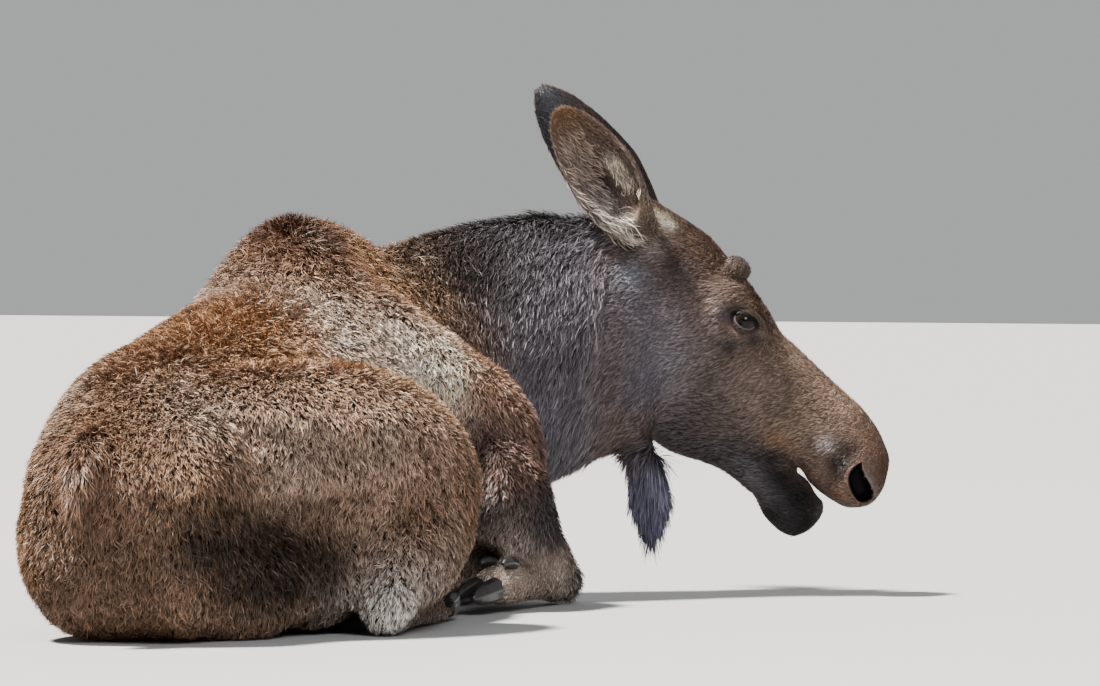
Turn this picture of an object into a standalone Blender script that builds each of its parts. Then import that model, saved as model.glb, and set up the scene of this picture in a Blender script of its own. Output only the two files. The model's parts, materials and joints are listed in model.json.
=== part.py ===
"""A young bull moose lying down with its head turned to its right: a still, life-size museum model.

Metres, +Z up, +X the way the trunk points and +Y its left. The floor is z = 0, and at the end the
model is moved so that the origin is the middle of its box, on the floor.

The flesh is built up as a sculptor would: long lofts for trunk, neck, head and limbs, and ellipsoids
for the muscles, all fused into one body, smoothed, and then parted with thin cuts.
"""

import math

import bmesh
import bpy
import numpy as np
from mathutils import Matrix, Quaternion, Vector
from mathutils.bvhtree import BVHTree

# driving dimensions
CUT_GAP = 0.0008  # the thin cut between two parts of the body
SET_IN_GAP = 0.0005  # round an eye, ear, bud or claw, where the flesh holds it
CLAY_VOXEL = 0.0075  # how finely the fused body is first modelled
EAR_VOXEL = 0.004
SMOOTHING_STEPS = 22  # melts the creases between the muscles
BODY_TRIANGLES = 2740  # what the fused body is simplified to
COARSE_FACTOR = 0.005  # how strongly the head is spared in that
EAR_TRIANGLES = 300  # and each ear
FLOOR_DIP = 0.004  # how far the clay sinks below the floor before the flats are cut

# the head's own frame: origin at the poll, x to the nose, y to its left, z out of the forehead
HEAD_AT = Vector((1.481, -0.364, 0.654))
HEAD_TURN = math.radians(-73)  # to the animal's right
HEAD_PITCH = math.radians(49)  # nose down
HEAD_TILT = math.radians(-3)  # crown leaning to the right
HEAD_REACH = 0.70  # how far from the poll the head is looked for

SIDES = {"right": -1, "left": 1}
COAT = (0.115, 0.075, 0.048)  # linear colours
VELVET = (0.07, 0.045, 0.03)
HORN = (0.012, 0.011, 0.011)
EYE = (0.02, 0.012, 0.008)


def clear_scene():
    for obj in list(bpy.data.objects):
        bpy.data.objects.remove(obj)


def material(name, color, roughness):
    mat = bpy.data.materials.new(name)
    mat.use_nodes = True
    shader = mat.node_tree.nodes["Principled BSDF"]
    shader.inputs["Base Color"].default_value = (*color, 1)
    shader.inputs["Roughness"].default_value = roughness
    return mat


def object_from(name, points, faces):
    mesh = bpy.data.meshes.new(name)
    mesh.from_pydata([tuple(p) for p in points], [], faces)
    mesh.validate()
    obj = bpy.data.objects.new(name, mesh)
    bpy.context.scene.collection.objects.link(obj)
    return obj


def evaluated_mesh(obj):
    """The object's mesh with its modifiers applied, as a new mesh."""
    bpy.context.view_layer.update()
    graph = bpy.context.evaluated_depsgraph_get()
    return bpy.data.meshes.new_from_object(obj.evaluated_get(graph))


def bake_modifiers(obj):
    mesh = evaluated_mesh(obj)
    obj.modifiers.clear()
    obj.data = mesh


# shapes
def smooth_between(knots, count):
    """Catmull-Rom through the rows of knots, count points in all."""
    knots = np.asarray(knots, float)
    ends = np.vstack([2 * knots[0] - knots[1], knots, 2 * knots[-1] - knots[-2]])
    made = []
    for step in np.linspace(0, len(knots) - 1, count):
        i = min(int(step), len(knots) - 2)
        t = step - i
        a, b, c, d = ends[i : i + 4]
        square = (2 * a - 5 * b + 4 * c - d) * t**2
        cube = (3 * b - a - 3 * c + d) * t**3
        made.append(0.5 * (2 * b + (c - a) * t + square + cube))
    return np.array(made)


def loft(stations, rows=30, sides=28, up=(0, 0, 1), frame=None, square=1.0):
    """A closed tube through stations of (x, y, z, half width, rise, drop, lean, narrowing).

    Rise and drop are how far the section reaches above and below its centre, lean turns it about the
    tube in degrees, and narrowing pinches its upper half, as a withers or a nose bridge is pinched."""
    lines = smooth_between(stations, rows)
    centres = lines[:, :3]
    tangents = np.gradient(centres, axis=0)
    points = []
    for centre, tangent, line in zip(centres, tangents, lines):
        along = Vector(tangent).normalized()
        upright = Vector(up) - along * along.dot(Vector(up))
        upright = Quaternion(along, math.radians(line[6])) @ upright.normalized()
        across = upright.cross(along)
        width, rise, drop, narrowing = line[3], line[4], line[5], line[7]
        for k in range(sides):
            angle = 2 * math.pi * k / sides
            sine = math.copysign(abs(math.sin(angle)) ** square, math.sin(angle))
            cosine = math.copysign(abs(math.cos(angle)) ** square, math.cos(angle))
            height = (rise if sine > 0 else drop) * sine
            half = width * cosine * (1 - narrowing * max(0.0, sine) ** 1.5)
            points.append(Vector(centre) + across * half + upright * height)
    first, last = len(points), len(points) + 1
    points += [Vector(centres[0]), Vector(centres[-1])]
    faces = []
    for row in range(rows - 1):
        for k in range(sides):
            a, b = row * sides + k, row * sides + (k + 1) % sides
            faces.append((a, b, b + sides, a + sides))
    for k in range(sides):
        faces.append((first, (k + 1) % sides, k))
        top = (rows - 1) * sides
        faces.append((last, top + k, top + (k + 1) % sides))
    if frame is not None:
        points = [frame @ p for p in points]
    return points, faces


def limb(joints, rows=24, sides=18, up=(0, 0, 1), frame=None):
    """A round-sectioned loft through (x, y, z, half width, half depth)."""
    stations = [(x, y, z, w, d, d, 0, 0) for x, y, z, w, d in joints]
    return loft(stations, rows, sides, up, frame)


def ball(centre, radii, turn=(0, 0, 0), frame=None, segments=24, rings=14):
    """An ellipsoid; turn is its rotation in degrees about X, Y and Z."""
    form = bmesh.new()
    bmesh.ops.create_uvsphere(form, u_segments=segments, v_segments=rings, radius=1)
    spin = Matrix.Rotation(math.radians(turn[2]), 4, "Z")
    spin = spin @ Matrix.Rotation(math.radians(turn[1]), 4, "Y")
    spin = spin @ Matrix.Rotation(math.radians(turn[0]), 4, "X")
    return taken_from(form, Matrix.Translation(centre) @ spin @ Matrix.Diagonal((*radii, 1)), frame)


def taken_from(form, place, frame):
    """The points and faces of a bmesh set at a place in a frame."""
    if frame is not None:
        place = frame @ place
    points = [place @ v.co for v in form.verts]
    faces = [tuple(v.index for v in f.verts) for f in form.faces]
    form.free()
    return points, faces


def head_frame():
    turn = Matrix.Rotation(HEAD_TURN, 4, "Z")
    pitch = Matrix.Rotation(HEAD_PITCH, 4, "Y")
    tilt = Matrix.Rotation(HEAD_TILT, 4, "X")
    return Matrix.Translation(HEAD_AT) @ turn @ pitch @ tilt


HEAD = head_frame()

# trunk and neck
TRUNK = [  # x, y, z, half width, rise, drop, lean, narrowing
    (-0.075, 0.00, 0.180, 0.060, 0.070, 0.090, -3, 0.0),
    (-0.045, 0.00, 0.190, 0.125, 0.120, 0.150, -3, 0.0),
    (0.030, 0.00, 0.205, 0.165, 0.170, 0.200, -4, 0.05),
    (0.130, 0.00, 0.225, 0.185, 0.210, 0.235, -5, 0.1),
    (0.240, 0.01, 0.235, 0.205, 0.232, 0.245, -5, 0.1),
    (0.350, 0.01, 0.240, 0.215, 0.243, 0.250, -5, 0.1),
    (0.470, 0.02, 0.250, 0.220, 0.257, 0.260, -5, 0.15),
    (0.600, 0.03, 0.260, 0.225, 0.272, 0.270, -5, 0.2),
    (0.720, 0.03, 0.270, 0.235, 0.292, 0.280, -5, 0.25),
    (0.780, 0.03, 0.275, 0.235, 0.338, 0.285, -5, 0.35),
    (0.850, 0.03, 0.280, 0.230, 0.374, 0.290, -5, 0.42),
    (0.940, 0.03, 0.290, 0.215, 0.376, 0.300, -5, 0.45),
    (1.020, 0.02, 0.300, 0.200, 0.348, 0.300, -4, 0.45),
    (1.110, 0.01, 0.300, 0.175, 0.290, 0.280, -3, 0.35),
    (1.200, -0.01, 0.300, 0.140, 0.180, 0.200, -2, 0.1),
    (1.260, -0.02, 0.300, 0.080, 0.100, 0.120, 0, 0.0),
]
NECK = [
    (0.900, 0.03, 0.360, 0.120, 0.220, 0.180, -4, 0.4),
    (1.020, 0.01, 0.375, 0.145, 0.222, 0.205, -3, 0.4),
    (1.130, -0.03, 0.395, 0.150, 0.212, 0.230, -2, 0.4),
    (1.230, -0.10, 0.415, 0.140, 0.224, 0.248, 0, 0.35),
    (1.315, -0.19, 0.430, 0.125, 0.232, 0.238, 0, 0.3),
    (1.385, -0.27, 0.450, 0.112, 0.224, 0.210, 0, 0.3),
    (1.435, -0.335, 0.480, 0.098, 0.190, 0.180, 0, 0.2),
    (1.480, -0.40, 0.500, 0.080, 0.110, 0.130, 0, 0.2),
]


def trunk_clay():
    pieces = [
        loft(TRUNK, rows=60, sides=36, square=0.85),
        loft(NECK, rows=40, sides=32),
        ball((0.66, -0.04, 0.18), (0.34, 0.25, 0.19)),  # the belly, low on each side
        ball((0.64, 0.07, 0.17), (0.34, 0.25, 0.18)),
        ball((1.10, 0.00, 0.16), (0.20, 0.17, 0.16)),  # the brisket between the forelegs
        ball((1.07, -0.10, 0.10), (0.17, 0.13, 0.105)),  # its fold, spread on the floor at the right elbow
    ]
    return pieces


# legs
def shoulder_and_forearm(sign, shift, drop):
    """The upper arm bulges out beside the chest, and the forearm comes down to the knee on the floor."""
    sx, sy = shift
    arm = [  # shoulder blade, point of the shoulder and elbow
        (0.870, 0.050, 0.500, 0.070, 0.080),
        (0.920, 0.100, 0.430, 0.090, 0.090),
        (0.985, 0.155, 0.355, 0.105, 0.100),
        (1.050, 0.200, 0.300, 0.105, 0.100),
        (1.065, 0.225, 0.235, 0.095, 0.095),
        (1.000, 0.235, 0.190, 0.080, 0.090),
    ]
    forearm = [
        (0.930, 0.240, 0.220, 0.070, 0.085),
        (1.010, 0.262, 0.195, 0.075, 0.095),
        (1.062, 0.275, 0.150, 0.062, 0.080),
        (1.110, 0.287, 0.100, 0.048, 0.060),
        (1.158, 0.297, 0.062, 0.044, 0.050),
        (1.200, 0.303, 0.046, 0.036, 0.036),
    ]
    made = []
    for joints, up in ((arm, (1, 0, 0)), (forearm, (0, 0, 1))):
        placed = []
        for x, y, z, width, depth in joints:
            sink = drop * min(1.0, max(0.0, (z - 0.05) / 0.45))
            placed.append((x + sx, sign * y + sy, z - sink, width, depth))
        made.append(limb(placed, up=up))
    return made


# half widths and depths of a foot, from where the lower leg starts past the fetlock to the rim
FORE_FOOT = [
    (0.043, 0.045),
    (0.032, 0.035),
    (0.032, 0.035),
    (0.040, 0.044),
    (0.036, 0.034),
    (0.036, 0.028),
    (0.036, 0.028),
]
HIND_FOOT = [
    (0.037, 0.045),
    (0.033, 0.036),
    (0.030, 0.033),
    (0.038, 0.038),
    (0.034, 0.031),
    (0.035, 0.027),
    (0.035, 0.027),
]


def foot_clay(sizes, start, fetlock, rim):
    """The cannon bone's length along the floor, the fetlock, and the pastern down to the hoof's rim."""
    start, fetlock, rim = Vector(start), Vector(fetlock), Vector(rim)
    line = [start, start.lerp(fetlock, 0.3), start.lerp(fetlock, 0.75), fetlock, fetlock.lerp(rim, 0.6), rim]
    line.append(rim + (rim - fetlock).normalized() * HOOF_OVERLAP)
    return limb([(*p, w, d) for p, (w, d) in zip(line, sizes)], rows=24)


def right_hind():
    return [
        ball((0.08, -0.09, 0.20), (0.15, 0.11, 0.19)),  # buttock
        ball((0.20, -0.11, 0.12), (0.16, 0.14, 0.13)),  # inner thigh, in under the fold
        ball((0.34, -0.19, 0.11), (0.15, 0.10, 0.10)),
        limb(  # thigh, carried out sideways to the stifle
            [
                (0.120, -0.060, 0.290, 0.080, 0.100),
                (0.210, -0.130, 0.300, 0.120, 0.135),
                (0.330, -0.205, 0.305, 0.130, 0.135),
                (0.430, -0.260, 0.290, 0.130, 0.130),
                (0.500, -0.295, 0.240, 0.115, 0.120),
                (0.515, -0.310, 0.180, 0.095, 0.100),
                (0.480, -0.320, 0.130, 0.080, 0.080),
            ],
            rows=30,
        ),
        limb(  # gaskin, back down to the hock
            [
                (0.480, -0.300, 0.190, 0.095, 0.110),
                (0.440, -0.312, 0.145, 0.098, 0.112),
                (0.390, -0.318, 0.108, 0.082, 0.092),
                (0.345, -0.322, 0.075, 0.056, 0.062),
                (0.305, -0.325, 0.048, 0.048, 0.044),
                (0.285, -0.325, 0.042, 0.036, 0.034),
            ],
            rows=20,
        ),
    ]


def left_hind():
    return [
        ball((0.10, 0.06, 0.16), (0.18, 0.13, 0.16)),
        ball((0.34, 0.16, 0.15), (0.27, 0.12, 0.15), (0, 0, 18)),
        limb(
            [
                (0.400, 0.190, 0.160, 0.110, 0.125),
                (0.560, 0.240, 0.150, 0.100, 0.120),
                (0.640, 0.265, 0.120, 0.075, 0.095),
                (0.600, 0.275, 0.090, 0.065, 0.080),
                (0.500, 0.270, 0.070, 0.052, 0.062),
                (0.420, 0.265, 0.048, 0.042, 0.048),
                (0.380, 0.262, 0.042, 0.034, 0.040),
            ],
            rows=30,
        ),
    ]


HOOF_OVERLAP = 0.030  # how far a foot's clay runs past the rim, where it is cut off
FEET = {  # joints of each foot: where the lower leg starts, the fetlock, and the hoof's rim
    "fore_right": ((1.200, -0.306, 0.044), (0.965, -0.290, 0.054), (0.895, -0.280, 0.047)),
    "fore_left": ((1.240, 0.306, 0.044), (1.005, 0.322, 0.050), (0.935, 0.330, 0.045)),
    "hind_right": ((0.320, -0.325, 0.045), (0.610, -0.280, 0.034), (0.680, -0.272, 0.032)),
    "hind_left": ((0.400, 0.265, 0.042), (0.690, 0.320, 0.034), (0.760, 0.335, 0.031)),
}


def is_fore(name):
    return name.startswith("fore")


def leg_clay():
    pieces = right_hind() + left_hind()
    pieces += shoulder_and_forearm(SIDES["right"], (0, 0), 0)
    pieces += shoulder_and_forearm(SIDES["left"], (0.04, 0.02), 0.03)
    for name, joints in FEET.items():
        pieces.append(foot_clay(FORE_FOOT if is_fore(name) else HIND_FOOT, *joints))
    return pieces


# head
SKULL = [  # x along the head, y, z of the centre, half width, rise, drop, lean, narrowing
    (-0.075, 0, -0.070, 0.050, 0.050, 0.070, 0, 0.1),
    (-0.030, 0, -0.070, 0.080, 0.088, 0.105, 0, 0.15),
    (0.030, 0, -0.070, 0.092, 0.108, 0.135, 0, 0.15),
    (0.090, 0, -0.070, 0.095, 0.124, 0.150, 0, 0.15),
    (0.140, 0, -0.070, 0.096, 0.126, 0.155, 0, 0.15),
    (0.190, 0, -0.070, 0.096, 0.124, 0.155, 0, 0.15),
    (0.240, 0, -0.070, 0.094, 0.119, 0.150, 0, 0.2),
    (0.300, 0, -0.070, 0.084, 0.110, 0.135, 0, 0.3),
    (0.355, 0, -0.062, 0.073, 0.108, 0.110, 0, 0.35),
    (0.410, 0, -0.050, 0.066, 0.104, 0.080, 0, 0.3),
    (0.460, 0, -0.030, 0.064, 0.089, 0.062, 0, 0.2),
    (0.510, 0, -0.024, 0.068, 0.082, 0.070, 0, 0.15),
    (0.550, 0, -0.026, 0.072, 0.074, 0.064, 0, 0.1),
    (0.580, 0, -0.034, 0.068, 0.056, 0.050, 0, 0.05),
    (0.604, 0, -0.042, 0.052, 0.034, 0.038, 0, 0.0),
    (0.617, 0, -0.046, 0.026, 0.014, 0.018, 0, 0.0),
]
JAW = [
    (0.080, 0, -0.135, 0.072, 0.060, 0.080, 0, 0),
    (0.150, 0, -0.155, 0.080, 0.060, 0.090, 0, 0),
    (0.230, 0, -0.165, 0.078, 0.055, 0.082, 0, 0),
    (0.310, 0, -0.160, 0.066, 0.045, 0.068, 0, 0),
    (0.380, 0, -0.148, 0.053, 0.038, 0.056, 0, 0),
    (0.440, 0, -0.143, 0.046, 0.030, 0.044, 0, 0),
    (0.485, 0, -0.145, 0.044, 0.030, 0.033, 0, 0),
    (0.515, 0, -0.148, 0.046, 0.034, 0.045, 0, 0),
    (0.545, 0, -0.148, 0.044, 0.040, 0.044, 0, 0),
    (0.570, 0, -0.142, 0.036, 0.037, 0.036, 0, 0),
    (0.583, 0, -0.140, 0.020, 0.024, 0.018, 0, 0),
]
EYE_AT = Vector((0.243, 0.079, -0.002))  # on the left; the right one mirrors it
EYE_RADIUS = 0.022
BUD = {"root": Vector((0.175, 0.048, 0.013)), "tip": Vector((0.163, 0.070, 0.063)), "radius": 0.020}
NOSTRIL = {"at": Vector((0.578, 0.060, -0.040)), "radii": (0.034, 0.017, 0.017), "turn": (0, 28, -26)}


def head_clay():
    pieces = [
        loft(SKULL, rows=56, sides=32, frame=HEAD),
        loft(JAW, rows=44, sides=24, frame=HEAD),
    ]
    for sign in SIDES.values():
        pieces += [
            ball((0.228, sign * 0.056, -0.012), (0.088, 0.043, 0.052), (0, 10, -6 * sign), HEAD),  # orbit
            ball((0.212, sign * 0.060, 0.024), (0.062, 0.034, 0.026), (0, 12, 0), HEAD),  # brow
            ball((0.150, sign * 0.058, -0.120), (0.120, 0.044, 0.095), (0, -10, 0), HEAD),  # cheek
            ball((0.330, sign * 0.046, -0.050), (0.120, 0.030, 0.040), (0, 10, -10 * sign), HEAD),  # face
            ball((0.560, sign * 0.042, -0.022), (0.045, 0.034, 0.045), (0, 30, -20 * sign), HEAD),  # nostril
        ]
    return pieces


# ears
EARS = {  # in the head's frame, faces being the way the cup looks before it is squared to the ear
    "right": {
        "root": Vector((0.000, -0.070, -0.032)),
        "tip": Vector((-0.238, -0.150, -0.008)),
        "faces": Vector((0.10, -1.0, -0.10)),
        "half_width": 0.062,
    },
    "left": {
        "root": Vector((0.012, 0.070, -0.020)),
        "tip": Vector((-0.298, 0.155, -0.002)),
        "faces": Vector((0.30, 1.0, 0.0)),
        "half_width": 0.065,
    },
}
EAR_THICKNESS = 0.012
EAR_ROWS, EAR_COLUMNS = 18, 13
EAR_BULB = (0.042, 0.038, 0.038)  # fills the tube's root


def make_ear(side):
    """A cupped leaf: nearly a tube at its root, opening out and closing to a blunt tip."""
    ear = EARS[side]
    root = ear["root"]
    along = ear["tip"] - root
    length = along.length
    along.normalize()
    face = (ear["faces"] - along * along.dot(ear["faces"])).normalized()
    across = along.cross(face)
    points = []
    for i in range(EAR_ROWS):
        u = i / (EAR_ROWS - 1)
        opening = 0.45 + 0.55 * math.sin(math.pi * min(1, u * 1.7) / 2)
        half = max(0.010, ear["half_width"] * opening * (1 - u**3.2) ** 0.6)
        cup = math.radians(150 * (1 - u) ** 2.2 + 50)  # half the arc that the leaf wraps
        radius = half / math.sin(min(cup, math.pi / 2))
        centre = root + along * (length * u)
        for j in range(EAR_COLUMNS):
            angle = cup * (2 * j / (EAR_COLUMNS - 1) - 1)
            inward = radius * (math.cos(angle) - 0.45)
            points.append(centre + across * (radius * math.sin(angle)) - face * inward)
    faces = []
    for i in range(EAR_ROWS - 1):
        for j in range(EAR_COLUMNS - 1):
            a = i * EAR_COLUMNS + j
            faces.append((a, a + 1, a + EAR_COLUMNS + 1, a + EAR_COLUMNS))
    blade = object_from("blade", [HEAD @ p for p in points], faces)
    solid = blade.modifiers.new("thickness", "SOLIDIFY")
    solid.thickness = EAR_THICKNESS
    solid.offset = 0
    bake_modifiers(blade)
    bulb = ball(root + along * EAR_THICKNESS, EAR_BULB, frame=HEAD)
    whole = joined("ear_" + side, [bulb], [blade])
    voxel_fuse(whole, EAR_VOXEL)
    smooth_over(whole, 4)
    simplify(whole, EAR_TRIANGLES)
    return whole


def bell_clay():
    """The flap of skin and long hair that hangs from the throat."""
    return limb(
        [
            (1.400, -0.355, 0.320, 0.042, 0.035),
            (1.408, -0.370, 0.260, 0.038, 0.026),
            (1.413, -0.380, 0.210, 0.040, 0.025),
            (1.415, -0.385, 0.165, 0.037, 0.023),
            (1.415, -0.386, 0.125, 0.022, 0.015),
            (1.415, -0.386, 0.104, 0.006, 0.005),
        ],
        rows=20,
        up=(1, 0, 0),
    )


TAIL_ROOT_X = -0.102  # the tail is cut from the rump here


def tail_clay():
    return limb(
        [
            (-0.020, 0.01, 0.320, 0.038, 0.036),
            (-0.078, 0.01, 0.312, 0.036, 0.028),
            (-0.115, 0.01, 0.278, 0.034, 0.023),
            (-0.131, 0.01, 0.225, 0.028, 0.018),
            (-0.134, 0.01, 0.180, 0.012, 0.009),
        ],
        rows=12,
        sides=14,
        up=(1, 0, 0),
    )


# fusing
def joined(name, shapes, objects=()):
    points, faces = [], []
    for shape_points, shape_faces in shapes:
        start = len(points)
        points += shape_points
        faces += [tuple(i + start for i in f) for f in shape_faces]
    for obj in objects:
        start = len(points)
        points += [v.co.copy() for v in obj.data.vertices]
        faces += [tuple(i + start for i in p.vertices) for p in obj.data.polygons]
        bpy.data.objects.remove(obj)
    return object_from(name, points, faces)


def voxel_fuse(obj, size):
    remesh = obj.modifiers.new("fuse", "REMESH")
    remesh.mode = "VOXEL"
    remesh.voxel_size = size
    bake_modifiers(obj)


def smooth_over(obj, steps, group=""):
    smooth = obj.modifiers.new("smooth", "SMOOTH")
    smooth.factor = 0.5
    smooth.iterations = steps
    smooth.vertex_group = group
    bake_modifiers(obj)


def simplify(obj, triangles, group="", group_factor=1.0):
    obj.data.calc_loop_triangles()
    decimate = obj.modifiers.new("simplify", "DECIMATE")
    decimate.ratio = triangles / len(obj.data.loop_triangles)
    decimate.vertex_group = group
    decimate.vertex_group_factor = group_factor
    bake_modifiers(obj)


def weigh(obj, name, weight_at):
    """A vertex group whose weight is a function of place."""
    group = obj.vertex_groups.new(name=name)
    for vertex in obj.data.vertices:
        group.add([vertex.index], min(1.0, max(0.0, weight_at(vertex.co))), "REPLACE")


def smooth_where(point):
    """How freely the clay is smoothed: little at the lips, feet and tail, fully at the muscles."""
    at = HEAD.inverted() @ point
    if at.length < HEAD_REACH and at.x > -0.05:
        return 0.35 - 0.5 * max(0.0, at.x - 0.35)
    return 0.3 + (point.z - 0.05) * 7


def coarse_where(point):
    """How readily the clay is simplified: slowly at the head, more at the feet, most at the trunk."""
    at = HEAD.inverted() @ point
    if at.length < HEAD_REACH and at.x > 0:
        return 0.05
    if point.x < TAIL_ROOT_X:
        return 0.2
    return 0.6 if point.z < 0.12 else 1.0


def fused_body():
    body = joined("body", trunk_clay() + leg_clay() + head_clay() + [bell_clay(), tail_clay()])
    voxel_fuse(body, CLAY_VOXEL)
    weigh(body, "smoothing", smooth_where)
    smooth_over(body, SMOOTHING_STEPS, "smoothing")
    body.data.transform(Matrix.Translation((0, 0, -FLOOR_DIP)))
    weigh(body, "coarse", coarse_where)
    simplify(body, BODY_TRIANGLES, "coarse", COARSE_FACTOR)
    body.vertex_groups.clear()
    ground = box_between((-1, -2, -0.5), (3, 2, 0.0))
    cut(body, [ground])
    return body


# cutting
def box_between(low, high, frame=None):
    """A closed box as an object, from corner to corner in the given frame."""
    low, high = Vector(low), Vector(high)
    form = bmesh.new()
    bmesh.ops.create_cube(form, size=1)
    place = Matrix.Translation((low + high) / 2) @ Matrix.Diagonal((*(high - low), 1))
    return object_from("cutter", *taken_from(form, place, frame))


def boolean(obj, cutter, operation):
    modifier = obj.modifiers.new("cut", "BOOLEAN")
    modifier.operation = operation
    modifier.solver = "EXACT"
    modifier.object = cutter
    bake_modifiers(obj)


def cut(obj, cutters):
    for cutter in cutters:
        boolean(obj, cutter, "DIFFERENCE")
        bpy.data.objects.remove(cutter)


def yawed(origin, yaw, roll=0, pitch=0):
    turn = Matrix.Rotation(math.radians(yaw), 4, "Z")
    turn = turn @ Matrix.Rotation(math.radians(pitch), 4, "Y")
    turn = turn @ Matrix.Rotation(math.radians(roll), 4, "X")
    return Matrix.Translation(origin) @ turn


def in_head(origin, pitch=0):
    return HEAD @ Matrix.Translation(origin) @ Matrix.Rotation(math.radians(pitch), 4, "Y")


WORLD = Matrix.Identity(4)
PLANES = {  # frames whose planes part the body
    "bell": yawed((1.415, -0.385, 0), 0),
    "head": in_head((-0.10, 0, 0), -46.8),
    "jaw": in_head((0.27, 0, -0.118), -3),
    "neck": yawed((1.19, -0.07, 0), -38),
    "tail": yawed((TAIL_ROOT_X, 0.01, 0.25), 0),
    "right_thigh": yawed((0.10, -0.105, 0.2), -15, 18),
    "left_thigh": yawed((0.12, 0.150, 0.2), 9, -12),
    "right_arm": yawed((0.885, -0.150, 0), -10),
    "left_arm": yawed((0.915, 0.185, 0), 8),
}
# each part is cut, in this order, from the one named first, by the box between two corners in a frame
PARTS = [
    ("trunk", "bell", PLANES["bell"], (-0.045, -0.048, 0), (0.040, 0.052, 0.250)),
    ("trunk", "head", PLANES["head"], (0, -0.40, -0.62), (0.90, 0.40, 0.50)),
    ("head", "jaw", PLANES["jaw"], (0, -0.30, -0.40), (0.50, 0.30, 0)),
    ("trunk", "neck", PLANES["neck"], (0, -0.165, 0.175), (0.90, 0.30, 1.20)),
    ("trunk", "tail", PLANES["tail"], (-0.20, -0.10, -0.15), (0, 0.10, 0.15)),
    ("trunk", "hind_right_thigh", PLANES["right_thigh"], (-0.30, -0.50, -0.50), (0.62, 0, 0.50)),
    ("trunk", "hind_left_thigh", PLANES["left_thigh"], (-0.10, 0, -0.50), (0.68, 0.50, 0.18)),
    ("trunk", "fore_right_arm", PLANES["right_arm"], (0, -0.50, -0.20), (0.50, 0, 0.405)),
    ("trunk", "fore_left_arm", PLANES["left_arm"], (0, 0, -0.20), (0.50, 0.50, 0.385)),
    ("hind_right_thigh", "hind_right_gaskin", WORLD, (0.26, -0.60, -0.10), (0.90, 0, 0.165)),
    ("hind_right_gaskin", "hind_right_foot", WORLD, (0.345, -0.60, -0.10), (0.90, -0.235, 0.066)),
    ("hind_left_thigh", "hind_left_gaskin", WORLD, (0.34, 0, -0.10), (1.0, 0.60, 0.120)),
    ("hind_left_gaskin", "hind_left_foot", WORLD, (0.440, 0.235, -0.10), (1.0, 0.60, 0.062)),
    ("fore_right_arm", "fore_right_forearm", WORLD, (0.80, -0.60, -0.10), (1.40, 0, 0.215)),
    ("fore_right_forearm", "fore_right_foot", WORLD, (0.80, -0.60, -0.10), (1.145, -0.215, 0.096)),
    ("fore_left_arm", "fore_left_forearm", WORLD, (0.80, 0, -0.10), (1.50, 0.60, 0.200)),
    ("fore_left_forearm", "fore_left_foot", WORLD, (0.80, 0.232, -0.10), (1.185, 0.60, 0.094)),
]


def copy_of(obj, name):
    twin = obj.copy()
    twin.data = obj.data.copy()
    twin.name = name
    bpy.context.scene.collection.objects.link(twin)
    return twin


def drop_crumbs(obj):
    """Keeps the largest connected piece, where a cut has shaved off a flake of the surface."""
    form = bmesh.new()
    form.from_mesh(obj.data)
    pieces, seen = [], set()
    for start in form.verts:
        if start in seen:
            continue
        piece, edge = {start}, [start]
        while edge:
            vertex = edge.pop()
            for other in (e.other_vert(vertex) for e in vertex.link_edges):
                if other not in piece:
                    piece.add(other)
                    edge.append(other)
        seen |= piece
        pieces.append(piece)
    largest = max(pieces, key=len)
    crumbs = [v for v in form.verts if v not in largest]
    bmesh.ops.delete(form, geom=crumbs, context="VERTS")
    form.to_mesh(obj.data)
    form.free()


def parted(trunk):
    """Every part by name, each cut from its parent part with a thin gap left between them."""
    trunk.name = "trunk"
    parts = {"trunk": trunk}
    for parent, name, frame, low, high in PARTS:
        parts[name] = copy_of(parts[parent], name)
        inside = box_between(low, high, frame)
        boolean(parts[name], inside, "INTERSECT")
        bpy.data.objects.remove(inside)
        margin = Vector((CUT_GAP, CUT_GAP, CUT_GAP))
        cut(parts[parent], [box_between(Vector(low) - margin, Vector(high) + margin, frame)])
        drop_crumbs(parts[parent])
        drop_crumbs(parts[name])
    return parts


# eyes, antler buds, hooves and claws
def solid_of(name, shape, color, roughness=0.6):
    obj = object_from(name, *shape)
    dress(obj, color, roughness)
    return obj


def dress(obj, color, roughness):
    obj.data.materials.clear()
    obj.data.materials.append(material(obj.name, color, roughness))
    obj.data.shade_smooth()


def make_eye(side):
    centre = EYE_AT.copy()
    centre.y *= SIDES[side]
    return solid_of("eye_" + side, ball(centre, (EYE_RADIUS,) * 3, (90, 0, 0), HEAD, 14, 9), EYE, 0.1)


def make_bud(side):
    """A young bull's antler bud: a short stalk with a rounded, slightly forked knob in velvet."""
    root, tip, r = BUD["root"].copy(), BUD["tip"].copy(), BUD["radius"]
    root.y *= SIDES[side]
    tip.y *= SIDES[side]
    line = [root, root.lerp(tip, 0.4), root.lerp(tip, 0.75), root.lerp(tip, 0.93), tip]
    sizes = [r * 1.05, r * 0.92, r * 1.0, r * 0.75, r * 0.3]
    stalk = limb([(*p, s, s * 1.15) for p, s in zip(line, sizes)], 7, 9, (1, 0, 0), HEAD)
    return solid_of("antler_bud_" + side, stalk, VELVET)


def foot_frame(name):
    """Origin at the middle of the rim, x out to the toe, y across the foot and z to its upper side."""
    _, fetlock, rim = (Vector(p) for p in FEET[name])
    rim.z -= FLOOR_DIP
    fetlock.z -= FLOOR_DIP
    toe = (rim - fetlock).normalized()
    across = Vector((0, 0, 1)).cross(toe).normalized()
    upper = toe.cross(across)
    return Matrix.Translation(rim) @ Matrix((toe, across, upper)).transposed().to_4x4()


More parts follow.
